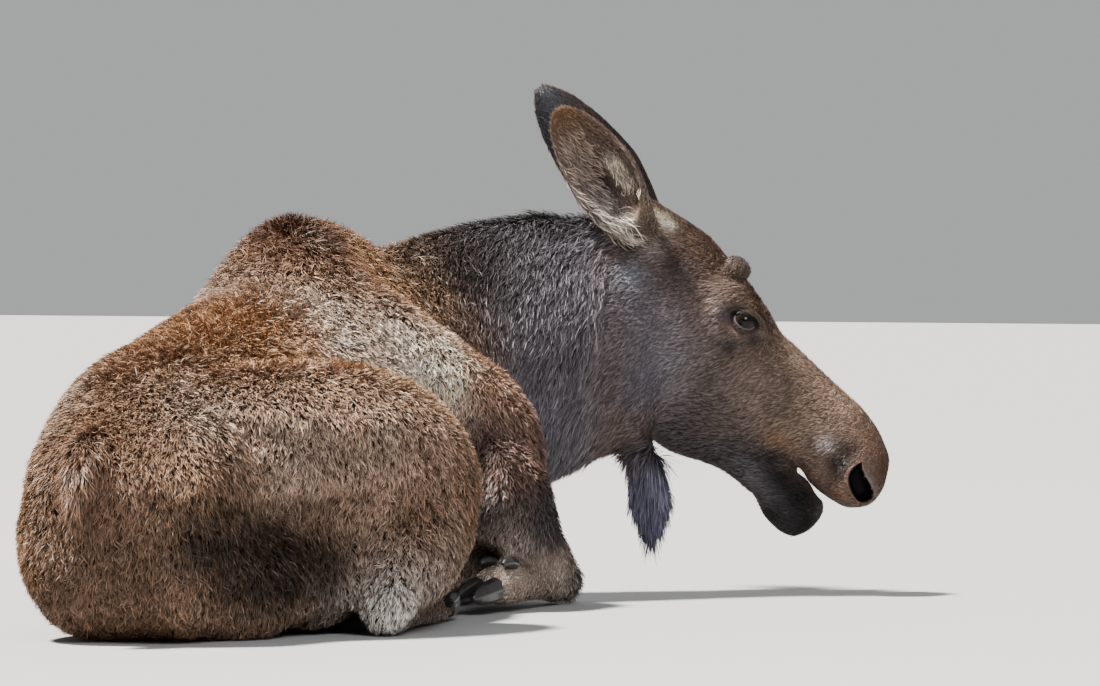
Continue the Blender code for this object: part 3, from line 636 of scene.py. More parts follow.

# colours of the tips where they differ from their part's, painted light and shade among them: place, radius
# and colour; on the head in its own frame and on both its sides
headTintsAndPaintedLight = [
    ((.198, .099, -.155), .070, "#8a8387"),  # cheek
    ((.120, .098, -.130), .070, "#7d767c"),
    ((.060, .095, -.135), .060, "#5f5961"),
    ((.200, .085, -.205), .060, "#67616a"),
    ((.110, .030, -.235), .080, "#524d55"),  # throat
    ((.343, .062, -.144), .040, "#5f534e"),
    ((.100, .020, .050), .060, "#705747"),  # forehead
    ((.020, .020, .030), .050, "#57463b"),
    ((.105, .086, -.028), .036, "#554a49"),  # temple
    ((.080, .079, -.018), .022, "#4d3f3a"),
    ((.051, .086, -.038), .020, "#8f8079"),
    ((.060, .112, -.094), .024, "#8f9099"),  # pale below the ear
    # painted shadow under the ear's root
    ((.017, .092, -.066), .015, "#231e1d"),
    ((.010, .050, .004), .026, "#e3ceb4"),  # and before it
    ((.032, .048, .012), .014, "#f0e4d4"),
    ((.240, .060, .038), .030, "#7d6350"),  # brow
    ((.148, .076, .030), .016, "#221b19"),  # behind the bud
    ((.340, .070, -.055), .055, "#8a766b"),  # side of the face
    ((.290, .080, -.110), .036, "#675a55"),
    ((.350, .020, .045), .060, "#a68c7a"),  # bridge
    ((.455, .020, .050), .050, "#a68b78"),
    ((.430, .066, -.035), .045, "#83705f"),
    ((.545, .020, .020), .040, "#725949"),
    ((.590, .030, .012), .026, "#5a3f2d"),
    ((.605, .020, -.020), .024, "#5f4a3c"),
    ((.497, .070, -.030), .016, "#877e7c"),  # swelling behind the nostril, a painted highlight, and painted shade in the valley round it
    ((.524, .072, -.008), .018, "#261e1a"),
    ((.532, .070, -.040), .021, "#1b1512"),
    ((.550, .068, -.062), .019, "#35271f"),
    ((.575, .060, -.078), .014, "#7a5138"),
    ((.430, .058, -.088), .020, "#84664d"),  # fold over the mouth
    ((.465, .058, -.082), .014, "#7f6048"),
    ((.505, .050, -.090), .012, "#5f4534"),
    ((.500, .045, -.102), .010, "#120f0f"),  # lips
    ((.550, .045, -.096), .010, "#120f0f"),
    ((.455, .045, -.118), .018, "#171415"),
    ((.490, .045, -.130), .026, "#0d0b0c"),  # chin: dark hair, darkened further as painted shade
    ((.535, .040, -.130), .032, "#0b0a0b"),
    ((.570, .030, -.150), .034, "#0b0a0b"),
    ((.525, .035, -.175), .030, "#191619"),
    # a painted highlight, grey, on the side of the chin
    ((.450, .045, -.170), .026, "#5f5a5f"),
    ((.490, .045, -.180), .024, "#5a5559"),
    ((.278, .082, -.010), .014, "#332b2a"),  # at the eye's front corner
    ((.257, .089, -.046), .020, "#3a3230"),
    ((.215, .092, -.020), .014, "#4f464a"),
]
bodyTintsAndPaintedLight = [
    ((.000, .210, .63), .150, "#5a392a"),  # hump
    ((.110, .221, .68), .080, "#452c21"),
    ((-.025, .123, .56), .080, "#9a7456"),
    ((-.090, .080, .47), .100, "#f0d8c4"),  # flank, pale hair behind the shoulder, brightened as a painted sunlit highlight
    ((.066, .036, .43), .090, "#f6dcc8"),
    ((-.270, .100, .50), .100, "#a17653"),
    ((-.600, .160, .42), .120, "#8a664c"),
    ((-.689, .075, .37), .080, "#b39b88"),
    ((-.885, .224, .27), .120, "#735644"),  # rump
    ((-.498, -.065, .41), .070, "#b18d73"),  # upper edge of the thigh, pale, partly a painted highlight where light falls on it
    ((-.300, -.100, .40), .060, "#a5835f"),
    ((-.593, -.053, .30), .080, "#b59b89"),
    ((-.430, -.120, .30), .070, "#c0a591"),
    ((-.360, -.188, .29), .070, "#b0917b"),
    ((-.240, -.210, .20), .070, "#8a6852"),  # stifle
    # the hock: pale hair, brightened near white as a painted sunlit highlight
    (hockAt, .075, "#fff2e6"),
    ((.148, -.021, .40), .085, "#ffe6cd"),  # shoulder, a painted sunlit highlight
    ((.230, -.050, .37), .060, "#b98f74"),
    ((.197, -.090, .28), .070, "#7d6259"),
    ((.185, -.075, .275), .050, "#4a3a34"),  # painted shade in the fold over the elbow
    ((.150, -.080, .17), .050, "#1f1918"),  # painted shade behind the forearm
    ((-.830, .150, .10), .110, "#6d5443"),  # foot of the rump
    ((-.380, -.170, .20), .060, "#8a6b57"),  # the shank
    ((.325, -.140, .15), .080, "#453e40"),
    ((.335, .033, .46), .060, "#57433a"),  # crest and base of the neck: dark hair, darkened further as painted shade
    ((.425, .050, .57), .110, "#221d1b"),
    ((.600, .000, .68), .080, "#2c2420"),
    ((.445, -.010, .25), .090, "#5a5660"),  # its underside
]

coatSet = {
    "tipSpread": 86,  # passes over which the colours of the tips run into each other
    "spread": 26,  # and all else about the coat
    "neckSpread": 500,  # and the whole coat from trunk to neck
    "perPiece": 190000,  # triangles
    "patch": .003,  # a tuft's place on the unwrap
    "clump": 3.4,  # widths of a tuft from one clump to the next
    "guard": .34,  # share of the tufts that are bent guard hairs; the rest are plain points
    "seed": 11,
}

ends = edgeEnds(skin.data)
spots = places(skin.data)
at = toHead(spots)
belongs = nearestNode(spots)
partNames = [partOf[name] for name in flesh]
partAt = np.array(partNames)[belongs]


def perPart(value):  # an array over the skin from a value for each part
    return np.array([value(part) for part in partNames], float)[belongs]


grown = {
    "length": perPart(lambda part: coats[part]["length"] / 1000),
    "depth": perPart(lambda part: coats[part]["depth"] / 1000),
    "width": perPart(lambda part: coats[part]["width"] / 1000),
    "tufts": perPart(lambda part: coats[part]["tufts"] * 10000),
    "frizz": perPart(lambda part: coats[part]["frizz"]),
    "tip": perPart(lambda part: linear(coats[part]["tip"])),
    "root": perPart(lambda part: linear(coats[part]["root"])),
}
spin = fromHead[:3, :3]
lie = perPart(lambda part: spin @ np.array(lies[part]) if part in inHeadFrame else lies[part])
stage("parts found")
fore = np.isin(partAt, ("neck", "head", "jaw", "ear", "bell"))
foreWide = blurred(fore, ends, coatSet["neckSpread"])


def runTogether(values, passes):  # softens the borders, and the one from trunk to neck over a wider stretch
    onNeck = values[partAt == "neck"][0]
    onTrunk = values[partAt == "trunk"][0]
    wider = foreWide - blurred(fore, ends, passes)
    if values.ndim > 1:
        wider = wider[:, None]
    return blurred(values, ends, passes) + wider * (onNeck - onTrunk)


for key in grown:
    grown[key] = runTogether(grown[key], coatSet["tipSpread" if key == "tip" else "spread"])
lie = unit(runTogether(unit(lie), coatSet["spread"]))
for axis in range(3):
    lie[:, axis] += .35 * patchy(spots, .07, 3 + axis)


def mark(values, weight, colour):
    return values * (1 - weight[:, None]) + np.asarray(colour) * weight[:, None]


def paint(weight, colour, onRoots=0, rootTone=1):  # colours the tips, and the roots by a share and in a tone
    grown["tip"] = mark(grown["tip"], weight, linear(colour))
    if onRoots:
        grown["root"] = mark(grown["root"], weight * onRoots, linear(colour) * rootTone)


onHead = blurred((partAt == "head") | (partAt == "jaw"), ends, 20)
onEar = partAt == "ear"
trunkMiddle = middle("trunk")[1]
for place, radius, colour in bodyTintsAndPaintedLight:
    mirrored = (place[0], 2 * trunkMiddle - place[1], place[2])
    for p, share in ((place, 1), (mirrored, .8)):
        paint(near(spots, p, radius) * (1 - onHead) * share, colour)
chest = smoothStep(spots[:, 0], .12, .44) * (1 - foreWide) * smoothStep(spots[:, 1], .02, .16)
paint(chest * .6, "#635852")
farSide = smoothStep(spots[:, 1], trunkMiddle, trunkMiddle + .12) * (1 - onHead)  # painted shade: the far side, which the sun lights more, darkened to be as brown as the near side
grown["tip"] *= (1 - .25 * farSide)[:, None]
for place, radius, colour in headTintsAndPaintedLight:
    for p in bothSides(place):
        paint(near(at, p, radius) * ~onEar, colour, .8, .30)

# painted shade in the creases and hollows and painted highlight on the ridges, from the folds; the hock is
# kept out of it
offHock = 1 - near(spots, hockAt, .07)  # the hock stays pale
for fold in folds:
    weight = 1 - fold["paintedShade"] * peak(fromLine(spots, fold["line"]), 0, fold["radius"]) * offHock
    grown["tip"] *= weight[:, None]
    grown["root"] *= np.minimum(weight, 1)[:, None]

# ears: the cup's inside is brown with pale hair, its rim dark
earSet = {
    "right": {"root": (.000, -.070, -.032), "tip": (-.238, -.150, -.008), "faces": (.10, -1.0, -.10)},
    "left": {"root": (.012, .070, -.020), "tip": (-.298, .155, -.002), "faces": (.30, 1.0, 0)},
}


def earAxes(side):  # its root and length, the way to its tip, the way its cup faces, and across
    root, tip, faces = (np.array(earSet[side][key], float) for key in ("root", "tip", "faces"))
    length = np.linalg.norm(tip - root)
    run = (tip - root) / length
    faces = unit(faces - run * (faces @ run))
    return root, length, run, faces, np.cross(run, faces) * -sides[side]


headFacing = unit(blurred(normals(skin.data), ends, 2)) @ intoHead[:3, :3].T
inEar = np.zeros(len(at))
alongEar = np.zeros(len(at))
acrossEar = np.zeros(len(at))
for side in earSet:
    root, length, run, faces, across = earAxes(side)
    mine = onEar & (at[:, 1] * sides[side] > 0)
    away = at - root
    alongEar = np.where(mine, away @ run / length, alongEar)
    acrossEar = np.where(mine, away @ across, acrossEar)
    inEar = np.where(mine, smoothStep(headFacing @ faces, -.1, .3), inEar)
inEar = blurred(inEar, ends, 2)
rim = smoothStep(acrossEar, .018, .032) * onEar * (1 - inEar)
paint(rim, "#3a2b23")
earLength = .25
earTintsAndPaintedShade = [  # along from the root, across towards the forehead, radius, colour; inside the cup
    (.92, .000, .040, "#856448"),
    (.75, -.010, .040, "#735c4b"),
    (.60, -.045, .040, "#85766b"),
    (.45, -.045, .035, "#8b7d7b"),
    # painted shade deep in the cup, down its middle
    (.48, .000, .020, "#3b2c22"),
    (.36, -.004, .020, "#1f1713"),
    (.24, -.004, .018, "#2a211c"),
    (.20, -.045, .030, "#8c8078"),
    (.05, -.030, .030, "#b9aa98"),
    (.46, .026, .014, "#b5ac9f"),
    (.34, .028, .014, "#d5c8b3"),
    (.16, .024, .018, "#8f7a66"),
]
paint(inEar, "#7d6b60")
grown["root"] = mark(grown["root"], inEar, linear("#3a2f29"))
for along, across, radius, colour in earTintsAndPaintedShade:
    spot = peak(alongEar * earLength, along * earLength, radius) * peak(acrossEar, across, radius)
    paint(spot * inEar, colour, .8, .35)


def openGrowth():  # nothing grows inside the eyes and nostrils, and little round them
    bare = np.zeros(len(at))
    for sign in sides.values():
        ring = aroundEye(at, sign)[3]
        bare = np.maximum(bare, smoothStep(-ring, -1.35, -1.05))
        inside = intoNostril(at, sign)[0]
        bare = np.maximum(bare, smoothStep(inside, -.0030, -.0005) * (inside > -.5))
    return bare


bare = openGrowth()
faceFine = np.zeros(len(at))
for sign in sides.values():
    faceFine = np.maximum(faceFine, smoothStep(-aroundEye(at, sign)[3], -3.6, -1.6))
muzzle = smoothStep(at[:, 0], .42, .56) * onHead
faceFine = np.maximum(faceFine, muzzle * .75)
lips = (near(at, (.50, 0, -.105), .030) + near(at, (.55, 0, -.103), .030)).clip(0, 1) * onHead
budRoot = sum(near(at, p, .024) for p in bothSides((.168, .060, .020))) * onHead
grown["length"] *= (1 - .55 * faceFine) * (1 + .5 * budRoot)
grown["depth"] *= (1 - .75 * faceFine) * (1 - .8 * lips) * (1 + .8 * budRoot)
grown["width"] *= 1 - .25 * faceFine
grown["tufts"] *= (1 - bare) * (1 + .25 * faceFine)
hump = near(spots, (.145, .221, .66), .17)
grown["length"] *= 1 + .7 * hump
grown["depth"] *= 1 + .5 * hump
grown["frizz"] *= 1 + .5 * hump
for sign in sides.values():  # dark skin round the eyes, painted shade in the lid creases, a painted shadow under the upper lid and a painted highlight on the wet lower rim; and the nostrils' rims
    along, up, out, ring = aroundEye(at, sign)
    onLids = ring < 50
    above = smoothStep(up, -.004, .002)
    upper = smoothStep(-ring, -1.85, -1.35) * onLids * above
    lower = smoothStep(-ring, -1.17, -1.08) * onLids * (1 - above)
    about = smoothStep(-ring, -1.75, -1.30) * onLids * .75
    crease = (peak(ring, 1.85, .14) * .8 + peak(ring, 2.65, .16) * .6) * (up > 0)
    paint(about, "#1c1817", 1)
    # painted shade in the creases of the lids
    paint(crease, "#1f1a19", 1)
    # painted shadow under the upper lid
    paint(upper, "#0e0c0c", 1)
    # painted highlight on the wet lower rim
    paint(lower, "#4a4348", 1)
    inside, fore, high = intoNostril(at, sign)
    here = inside > -.5
    rear = peak(inside, -.003, .0035) * (fore < 0) * here
    wing = peak(fore, .016, .009) * peak(high, -.004, .018) * (inside < 0) * here
    paint(rear * .5, "#553a2d", 1)
    paint(wing * .8, "#7e7276", 1)
    # painted shade: the nostril's inside near black
    paint(smoothStep(inside, -.001, .003), "#040303", 1)

# the skin lies under the coat by its depth
out = unit(blurred(normals(skin.data), ends, 2))
setPlaces(skin.data, spots - out * (grown["depth"] * (1 - bare) * .9)[:, None])
stage("skin set in")


def tangent(direction, normal):
    return unit(direction - normal * np.sum(direction * normal, axis=-1, keepdims=True))


def unwrapped(obj):
    pick(obj)
    bpy.ops.object.mode_set(mode="EDIT")
    bpy.ops.mesh.select_all(action="SELECT")
    bpy.ops.uv.smart_project(angle_limit=math.radians(66), island_margin=.002)
    bpy.ops.object.mode_set(mode="OBJECT")
    layer = obj.data.uv_layers.active
    layer.name = "OFBake"
    uv = np.empty(len(obj.data.loops) * 2)
    layer.data.foreach_get("uv", uv)
    return uv.reshape(-1, 2)


def triangles(mesh):  # the vertices and the loops of each triangle
    mesh.calc_loop_triangles()
    corners = np.empty(len(mesh.loop_triangles) * 3, np.int64)
    mesh.loop_triangles.foreach_get("vertices", corners)
    loops = np.empty(len(corners), np.int64)
    mesh.loop_triangles.foreach_get("loops", loops)
    return corners.reshape(-1, 3), loops.reshape(-1, 3)


def sampled(mesh, density, rng):  # roots spread evenly: their triangles' vertices and loops, and the shares
    corners, loops = triangles(mesh)
    a, b, c = (places(mesh)[corners[:, k]] for k in range(3))
    area = np.linalg.norm(np.cross(b - a, c - a), axis=1) / 2
    wanted = np.cumsum(area * density[corners].mean(axis=1))
    count = int(wanted[-1])
    picks = np.searchsorted(wanted, (np.arange(count) + rng.random(count)) * wanted[-1] / count)
    picks = np.minimum(picks, len(corners) - 1)
    u, v = rng.random(count), rng.random(count)
    over = u + v > 1
    u[over], v[over] = 1 - u[over], 1 - v[over]
    return corners[picks], loops[picks], np.stack([1 - u - v, u, v], axis=1)


def mixAt(values, corners, share):
    picked = values[corners]
    if picked.ndim == 2:
        return (picked * share).sum(axis=1)
    return (picked * share[:, :, None]).sum(axis=1)


def rootsOn(mesh, density):
    corners, loops, share = sampled(mesh, density, rng)
    return mixAt(places(mesh), corners, share), unit(mixAt(normals(mesh), corners, share))


def bladeMesh(name, tufts):  # a strip of quads with a pointed end for each tuft, in one mesh
    centres, across, halves = tufts["centres"], tufts["across"], tufts["halves"]
    count, rows, _ = centres.shape
    left = centres[:, :-1] - across[:, None] * halves[:, :, None]
    right = centres[:, :-1] + across[:, None] * halves[:, :, None]
    pairs = np.stack([left, right], axis=2).reshape(count, -1, 3)
    points = np.concatenate([pairs, centres[:, -1:]], axis=1)
    each = points.shape[1]
    quads = [(2 * r, 2 * r + 1, 2 * r + 3, 2 * r + 2) for r in range(rows - 2)]
    corner = np.array([k for quad in quads for k in quad] + [each - 3, each - 2, each - 1])
    mesh = bpy.data.meshes.new(name)
    mesh.vertices.add(count * each)
    mesh.vertices.foreach_set("co", points.astype(np.float32).ravel())
    index = (np.arange(count)[:, None] * each + corner[None]).ravel()
    mesh.loops.add(len(index))
    mesh.loops.foreach_set("vertex_index", index.astype(np.int32))
    total = np.tile(np.array([4] * len(quads) + [3], np.int32), count)
    mesh.polygons.add(len(total))
    mesh.polygons.foreach_set("loop_start", np.concatenate([[0], np.cumsum(total)[:-1]]).astype(np.int32))
    mesh.polygons.foreach_set("loop_total", total)
    mesh.update(calc_edges=True)
    rowOf = np.concatenate([np.repeat(np.arange(rows - 1), 2), [rows - 1]])
    tint = np.ones((count, each, 4), np.float32)
    tint[:, :, :3] = tufts["colours"][:, rowOf]
    shade = mesh.color_attributes.new("markings", "FLOAT_COLOR", "POINT")
    shade.data.foreach_set("color", tint.ravel())
    spread = coatSet["patch"] / 2
    aside = np.tile([-spread, spread], rows)[:each]
    aside[-1] = 0
    local = np.stack([aside, (rowOf / (rows - 1) * 2 - 1) * spread], axis=1)
    uv = (tufts["uv"][:, None] + local[None])[:, corner]
    layer = mesh.uv_layers.new(name="OFBake")
    layer.data.foreach_set("uv", np.clip(uv, 0, 1).astype(np.float32).ravel())
    obj = bpy.data.objects.new(name, mesh)
    bpy.context.scene.collection.objects.link(obj)
    return obj


def rolled(flow, normal, spread):  # across each tuft, turned about its own run
    roll = rng.normal(0, spread, len(flow))[:, None]
    return unit(np.cross(flow, normal) * np.cos(roll) + normal * np.sin(roll))


def taper(rows, foot):  # the width along a tuft, without its point
    return np.interp(np.linspace(0, 1, rows)[:-1], (0, .5, 1), (foot, 1, .4))


def leaders(roots, share, rng):  # for each tuft, the one in the middle of its clump
    keep = np.nonzero(rng.random(len(roots)) < share)[0]
    tree = KDTree(len(keep))
    for k in keep:
        tree.insert(roots[k], int(k))
    tree.balance()
    return np.array([tree.find(p)[1] for p in roots])


skinUv = unwrapped(skin)
surface = places(skin.data)
facing = normals(skin.data)
rng = np.random.default_rng(coatSet["seed"])
grown["tufts"] *= 1 - smoothStep(-surface[:, 2], -.014, -.006) * smoothStep(-facing[:, 2], .5, .8)
tone = 1 + .16 * patchy(surface, .030, 1) + .12 * patchy(surface, .10, 2)
grown["tip"] = np.clip(grown["tip"] * tone[:, None], 0, 1)
stage("skin unwrapped")


def growTufts(members, rows):
    wanted = grown["tufts"] * np.isin(partAt, members)
    corners, loops, share = sampled(skin.data, wanted, rng)
    roots = mixAt(surface, corners, share)
    normal = unit(mixAt(facing, corners, share))
    take = {key: mixAt(values, corners, share) for key, values in grown.items()}
    count = len(roots)
    clump = take["width"] * coatSet["clump"]
    lead = leaders(roots, 1 / np.maximum(clump**2 * take["tufts"], 1), rng)
    outer = np.minimum(np.linalg.norm(roots - roots[lead], axis=1) / clump, 1)  # 0 in the middle of a clump
    frizz = take["frizz"][:, None]
    flow = mixAt(lie, corners, share) + rng.normal(0, .6, (count, 3)) * frizz
    flow = tangent(flow + rng.normal(0, 1, (count, 3))[lead] * frizz, normal)
    vary = rng.normal(0, 1, (5, count)).clip(-2, 2)
    length = take["length"] * (1 + .18 * vary[0]) * (1 + .14 * vary[1][lead])
    high = np.minimum(take["depth"] * (1 + .25 * vary[2]) * (1.12 - .42 * outer), length * .8)
    low = np.sqrt(length**2 - high**2)
    across = rolled(flow, normal, .55)
    ends = roots + flow * low[:, None] + normal * high[:, None]
    pull = ends[lead] - ends
    reach = np.linalg.norm(pull, axis=1)
    pull *= (np.minimum(1, 3 * take["width"] / np.maximum(reach, 1e-6)) * .45)[:, None]
    curl = across * (vary[4] * take["frizz"] * take["width"] * 2.6)[:, None]
    centres = np.empty((count, rows, 3))
    for r, t in enumerate(np.linspace(0, 1, rows)):
        rise = high * (1 - (1 - t) ** 1.7 - .12 * (t == 0))
        centres[:, r] = roots + flow * (low * t)[:, None] + normal * rise[:, None]
        centres[:, r] += pull * t**2 + curl * math.sin(t * math.pi)
    centres[:, :, 2] = np.maximum(centres[:, :, 2], .0008)
    halves = (take["width"] / 2 * (1 + .2 * vary[3]))[:, None] * taper(rows, .85)[None]
    tones = 1 + .26 * rng.normal(0, 1, count).clip(-2, 2)
    tones *= 1 + .24 * rng.normal(0, 1, count)[lead].clip(-2, 2)
    # painted shade between clumps: tufts toward a clump's edge darker, those at its middle lighter
    tones *= 1.35 - .7 * outer
    ramp = np.linspace(0, 1, rows)[None, :, None] ** .9
    colours = take["root"][:, None] * (1 - ramp) + (take["tip"] * tones[:, None])[:, None] * ramp
    return {
        "centres": centres,
        "across": across,
        "halves": halves,
        "colours": np.clip(colours, .002, .9),
        "uv": mixAt(skinUv, loops, share),
    }


def layered(tufts, rows):  # bent guard hairs, and plain points under them
    guard = rng.random(len(tufts["uv"])) < coatSet["guard"]
    upper = {key: values[guard] for key, values in tufts.items()}
    under = {key: values[~guard] for key, values in tufts.items()}
    under["centres"] = under["centres"][:, [0, -1]]
    under["colours"] = under["colours"][:, [0, -1]]
    under["halves"] = under["halves"][:, :1] * 1.15
    return upper, under


def piecesOf(name, tufts):  # several meshes, each under the limit, from the hind end to the front
    each = 2 * tufts["centres"].shape[1] - 3
    order = np.argsort(tufts["centres"][:, 0, 0], kind="stable")
    made = []
    for k, chosen in enumerate(np.array_split(order, math.ceil(len(order) * each / coatSet["perPiece"]))):
        made.append(bladeMesh(f"{name}_{k + 1}", {key: values[chosen] for key, values in tufts.items()}))
    return made


def countTriangles(objs):
    return sum(len(obj.data.loops) - 2 * len(obj.data.polygons) for obj in objs)


coatPieces = []
for name, members, rows in (
    ("coat_back", ["trunk", "tail"], 3),
    ("coat_hindlegs", ["thigh", "gaskin"], 3),
    ("coat_forelegs", ["arm", "forearm"], 3),
    ("coat_feet", ["foot"], 2),
    ("coat_neck", ["neck"], 3),
    ("coat_bell", ["bell"], 5),
    ("coat_head", ["head", "jaw"], 2),
    ("coat_ears", ["ear"], 2),
):
    tufts = growTufts(members, rows)
    if rows == 3:
        upper, under = layered(tufts, rows)
        made = piecesOf(name, upper) + piecesOf(name + "_under", under)
    else:
        made = piecesOf(name, tufts)
    coatPieces += made
    stage(f"{name}: {len(tufts['uv'])} tufts, {countTriangles(made)} triangles")
stage(f"{len(coatPieces)} pieces of coat, {countTriangles(coatPieces)} triangles")

vertexUv = np.zeros((len(surface), 2))
vertexUv[[loop.vertex_index for loop in skin.data.loops]] = skinUv
headTree = KDTree(len(surface))
for k, place in enumerate(surface):
    headTree.insert(place, k)
headTree.balance()


def uvNear(points):  # where the skin next to each point lies on its unwrap
    return np.array([vertexUv[headTree.find(p)[1]] for p in points])


def locks(name, roots, directions, normal, kind):  # longer hairs that stand by themselves
    count = len(roots)
    rows = kind["rows"]
    flow = tangent(unit(directions + rng.normal(0, .16, (count, 3))), normal)
    size = kind["length"] * (1 + .25 * rng.normal(0, 1, count).clip(-2, 2))
    rise = kind["height"] * (1 + .3 * rng.normal(0, 1, count).clip(-2, 2))
    across = rolled(flow, normal, .5)
    wave = rng.normal(0, .10, (count, 1)) * size[:, None]
    centres = np.empty((count, rows, 3))
    for r, t in enumerate(np.linspace(0, 1, rows)):
        centres[:, r] = roots + flow * (size * t)[:, None] + normal * (rise * math.sin(t * 2.2))[:, None]
        centres[:, r] += across * wave * math.sin(t * 4)
    ramp = np.linspace(0, 1, rows)[None, :, None]
    tones = (1 + kind["tones"] * rng.normal(0, 1, count).clip(-2, 2))[:, None, None]
    colours = linear(kind["root"]) * (1 - ramp) + linear(kind["tip"]) * ramp
    return bladeMesh(
        name,
        {
            "centres": centres,
            "across": across,
            "halves": kind["width"] / 2 * taper(rows, .8)[None] * np.ones((count, 1)),
            "colours": np.clip(colours * tones, .002, .9),
            "uv": uvNear(roots),
        },
    )


markings = skin.data.color_attributes.new("markings", "FLOAT_COLOR", "POINT")
skinTint = np.ones((len(surface), 4), np.float32)
tipShare = .35 * smoothStep(faceFine + onHead * .3, .2, .9)
skinTint[:, :3] = grown["root"] + (grown["tip"] - grown["root"]) * tipShare[:, None]
markings.data.foreach_set("color", skinTint.ravel())


def nodeTree(name):
    material = bpy.data.materials.new(name)
    material.use_nodes = True
    tree = material.node_tree
    return material, tree, tree.nodes["Principled BSDF"]


def addNode(tree, kind, inputs=None, **settings):  # a node with its settings and what feeds it
    node = tree.nodes.new(kind)
    for key, value in settings.items():
        setattr(node, key, value)
    for socket, source in (inputs or {}).items():
        if isinstance(source, bpy.types.NodeSocket):
            tree.links.new(source, node.inputs[socket])
        else:
            node.inputs[socket].default_value = source
    return node


def furFinish(name, roughness, grainSize, bump, shine):  # hair, or the fine hair that the skin shows
    material, tree, shader = nodeTree(name)
    marks = addNode(tree, "ShaderNodeAttribute", attribute_name="markings")
    where = addNode(tree, "ShaderNodeTexCoord").outputs["Object"]
    grain = addNode(tree, "ShaderNodeTexNoise", {"Vector": where, "Scale": 1 / grainSize, "Detail": 3.0})
    feeds = {"Value": grain.outputs["Fac"], "To Min": .75, "To Max": 1.25}
    level = addNode(tree, "ShaderNodeMapRange", feeds)
    tint = addNode(tree, "ShaderNodeVectorMath", {0: marks.outputs["Color"]}, operation="SCALE")
    tree.links.new(level.outputs["Result"], tint.inputs["Scale"])
    tree.links.new(tint.outputs["Vector"], shader.inputs["Base Color"])
    shader.inputs["Roughness"].default_value = roughness
    shader.inputs["Specular IOR Level"].default_value = shine
    if bump:
        fine = addNode(tree, "ShaderNodeTexNoise", {"Vector": where, "Scale": 700.0, "Detail": 2.0})
        feeds = {"Strength": bump, "Distance": .0015, "Height": fine.outputs["Fac"]}
        raised = addNode(tree, "ShaderNodeBump", feeds)
        tree.links.new(raised.outputs["Normal"], shader.inputs["Normal"])
    return material


coatFinish = furFinish("coat_hair", .42, .02, 0, .20)
skinFinish = furFinish("skin_under_coat", .6, .012, .35, .05)


def shadeSmooth(obj):
    obj.data.polygons.foreach_set("use_smooth", np.ones(len(obj.data.polygons), bool))


def finished(obj, material, slotName, *replaced):
    obj.data.materials.clear()
    obj.data.materials.append(material)
    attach(obj, "root")
    if replaced:
        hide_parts(*replaced)


shadeSmooth(skin)
finished(skin, skinFinish, "coat", *flesh)
for piece in coatPieces:
    finished(piece, coatFinish, "coat")


# eyes
def eyeFinish():
    material, tree, shader = nodeTree("wet_eye")
    marks = addNode(tree, "ShaderNodeAttribute", attribute_name="markings")
    tree.links.new(marks.outputs["Color"], shader.inputs["Base Color"])
    shader.inputs["Roughness"].default_value = .03
    shader.inputs["Specular IOR Level"].default_value = .16
    return material


ballSet = {
    "iris": "#140c0a",
    "irisEdge": (.011, .0135),  # metres from its middle
    "white": "#1c1817",  # dark in a moose
    "pupil": (.0072, .0042),  # half its width and height
    "black": "#050404",
}
wetEye = eyeFinish()
for side, sign in sides.items():
    centre = np.array(head["eyeAt"]) * (1, sign, 1)
    eye = addBall("eye_" + side + "_ball", (0, 0, 0), (eyeSet["radius"],) * 3, 64, 48)
    local = places(eye.data)
    local = local[:, [0, 2, 1]] * (1, sign, 1)
    along, up, out, ring = aroundEye(local + centre, sign)
    tint = np.ones((len(local), 4), np.float32)
    fromMiddle = np.hypot(along, up)
    pupil = np.hypot(along / ballSet["pupil"][0], up / ballSet["pupil"][1])
    colour = np.zeros((len(local), 3)) + linear(ballSet["iris"])
    colour = mark(colour, smoothStep(fromMiddle, *ballSet["irisEdge"]), linear(ballSet["white"]))
    colour = mark(colour, 1 - smoothStep(pupil, .9, 1.1), linear(ballSet["black"]))
    tint[:, :3] = colour
    eye.data.color_attributes.new("markings", "FLOAT_COLOR", "POINT").data.foreach_set("color", tint.ravel())
    setPlaces(eye.data, outOfHead(local + centre))
    pick(eye)
    bpy.ops.object.mode_set(mode="EDIT")
    bpy.ops.mesh.select_all(action="SELECT")
    bpy.ops.mesh.normals_make_consistent(inside=False)
    bpy.ops.object.mode_set(mode="OBJECT")
    shadeSmooth(eye)
    finished(eye, wetEye, "eye", "eye_" + side)

# lashes along the upper lids
lashSet = {
    "count": 34,
    "from": 18,  # degrees round the opening, from its front corner
    "over": 144,
    "length": .008,
    "height": -.001,
    "width": .0006,
    "rows": 5,
    "tones": .15,
    "tip": "#080707",
    "root": "#080707",
}
lashRoots, lashWays, lashNormals = [], [], []
for sign in sides.values():
    for k in range(lashSet["count"]):
        angle = math.radians(lashSet["from"] + lashSet["over"] * k / (lashSet["count"] - 1))
        along = eyeSet["halfWidth"] * math.cos(angle) * 1.02
        up = eyeSet["upper"] * math.sin(angle) * 1.05
        ball = math.sqrt(eyeSet["radius"] ** 2 - along**2 - up**2) + eyeSet["lid"]
        lashRoots.append(outOfHead(fromSlit(along, up, ball, sign)))
        way = np.array([.25 * math.cos(angle) + .1, sign * 1.0, -.35])
        lashWays.append(spin @ unit(way))
        lashNormals.append(spin @ np.array([0, sign * .35, 1.0]))
lashes = locks("lashes", np.array(lashRoots), np.array(lashWays), unit(np.array(lashNormals)), lashSet)
finished(lashes, coatFinish, "coat")

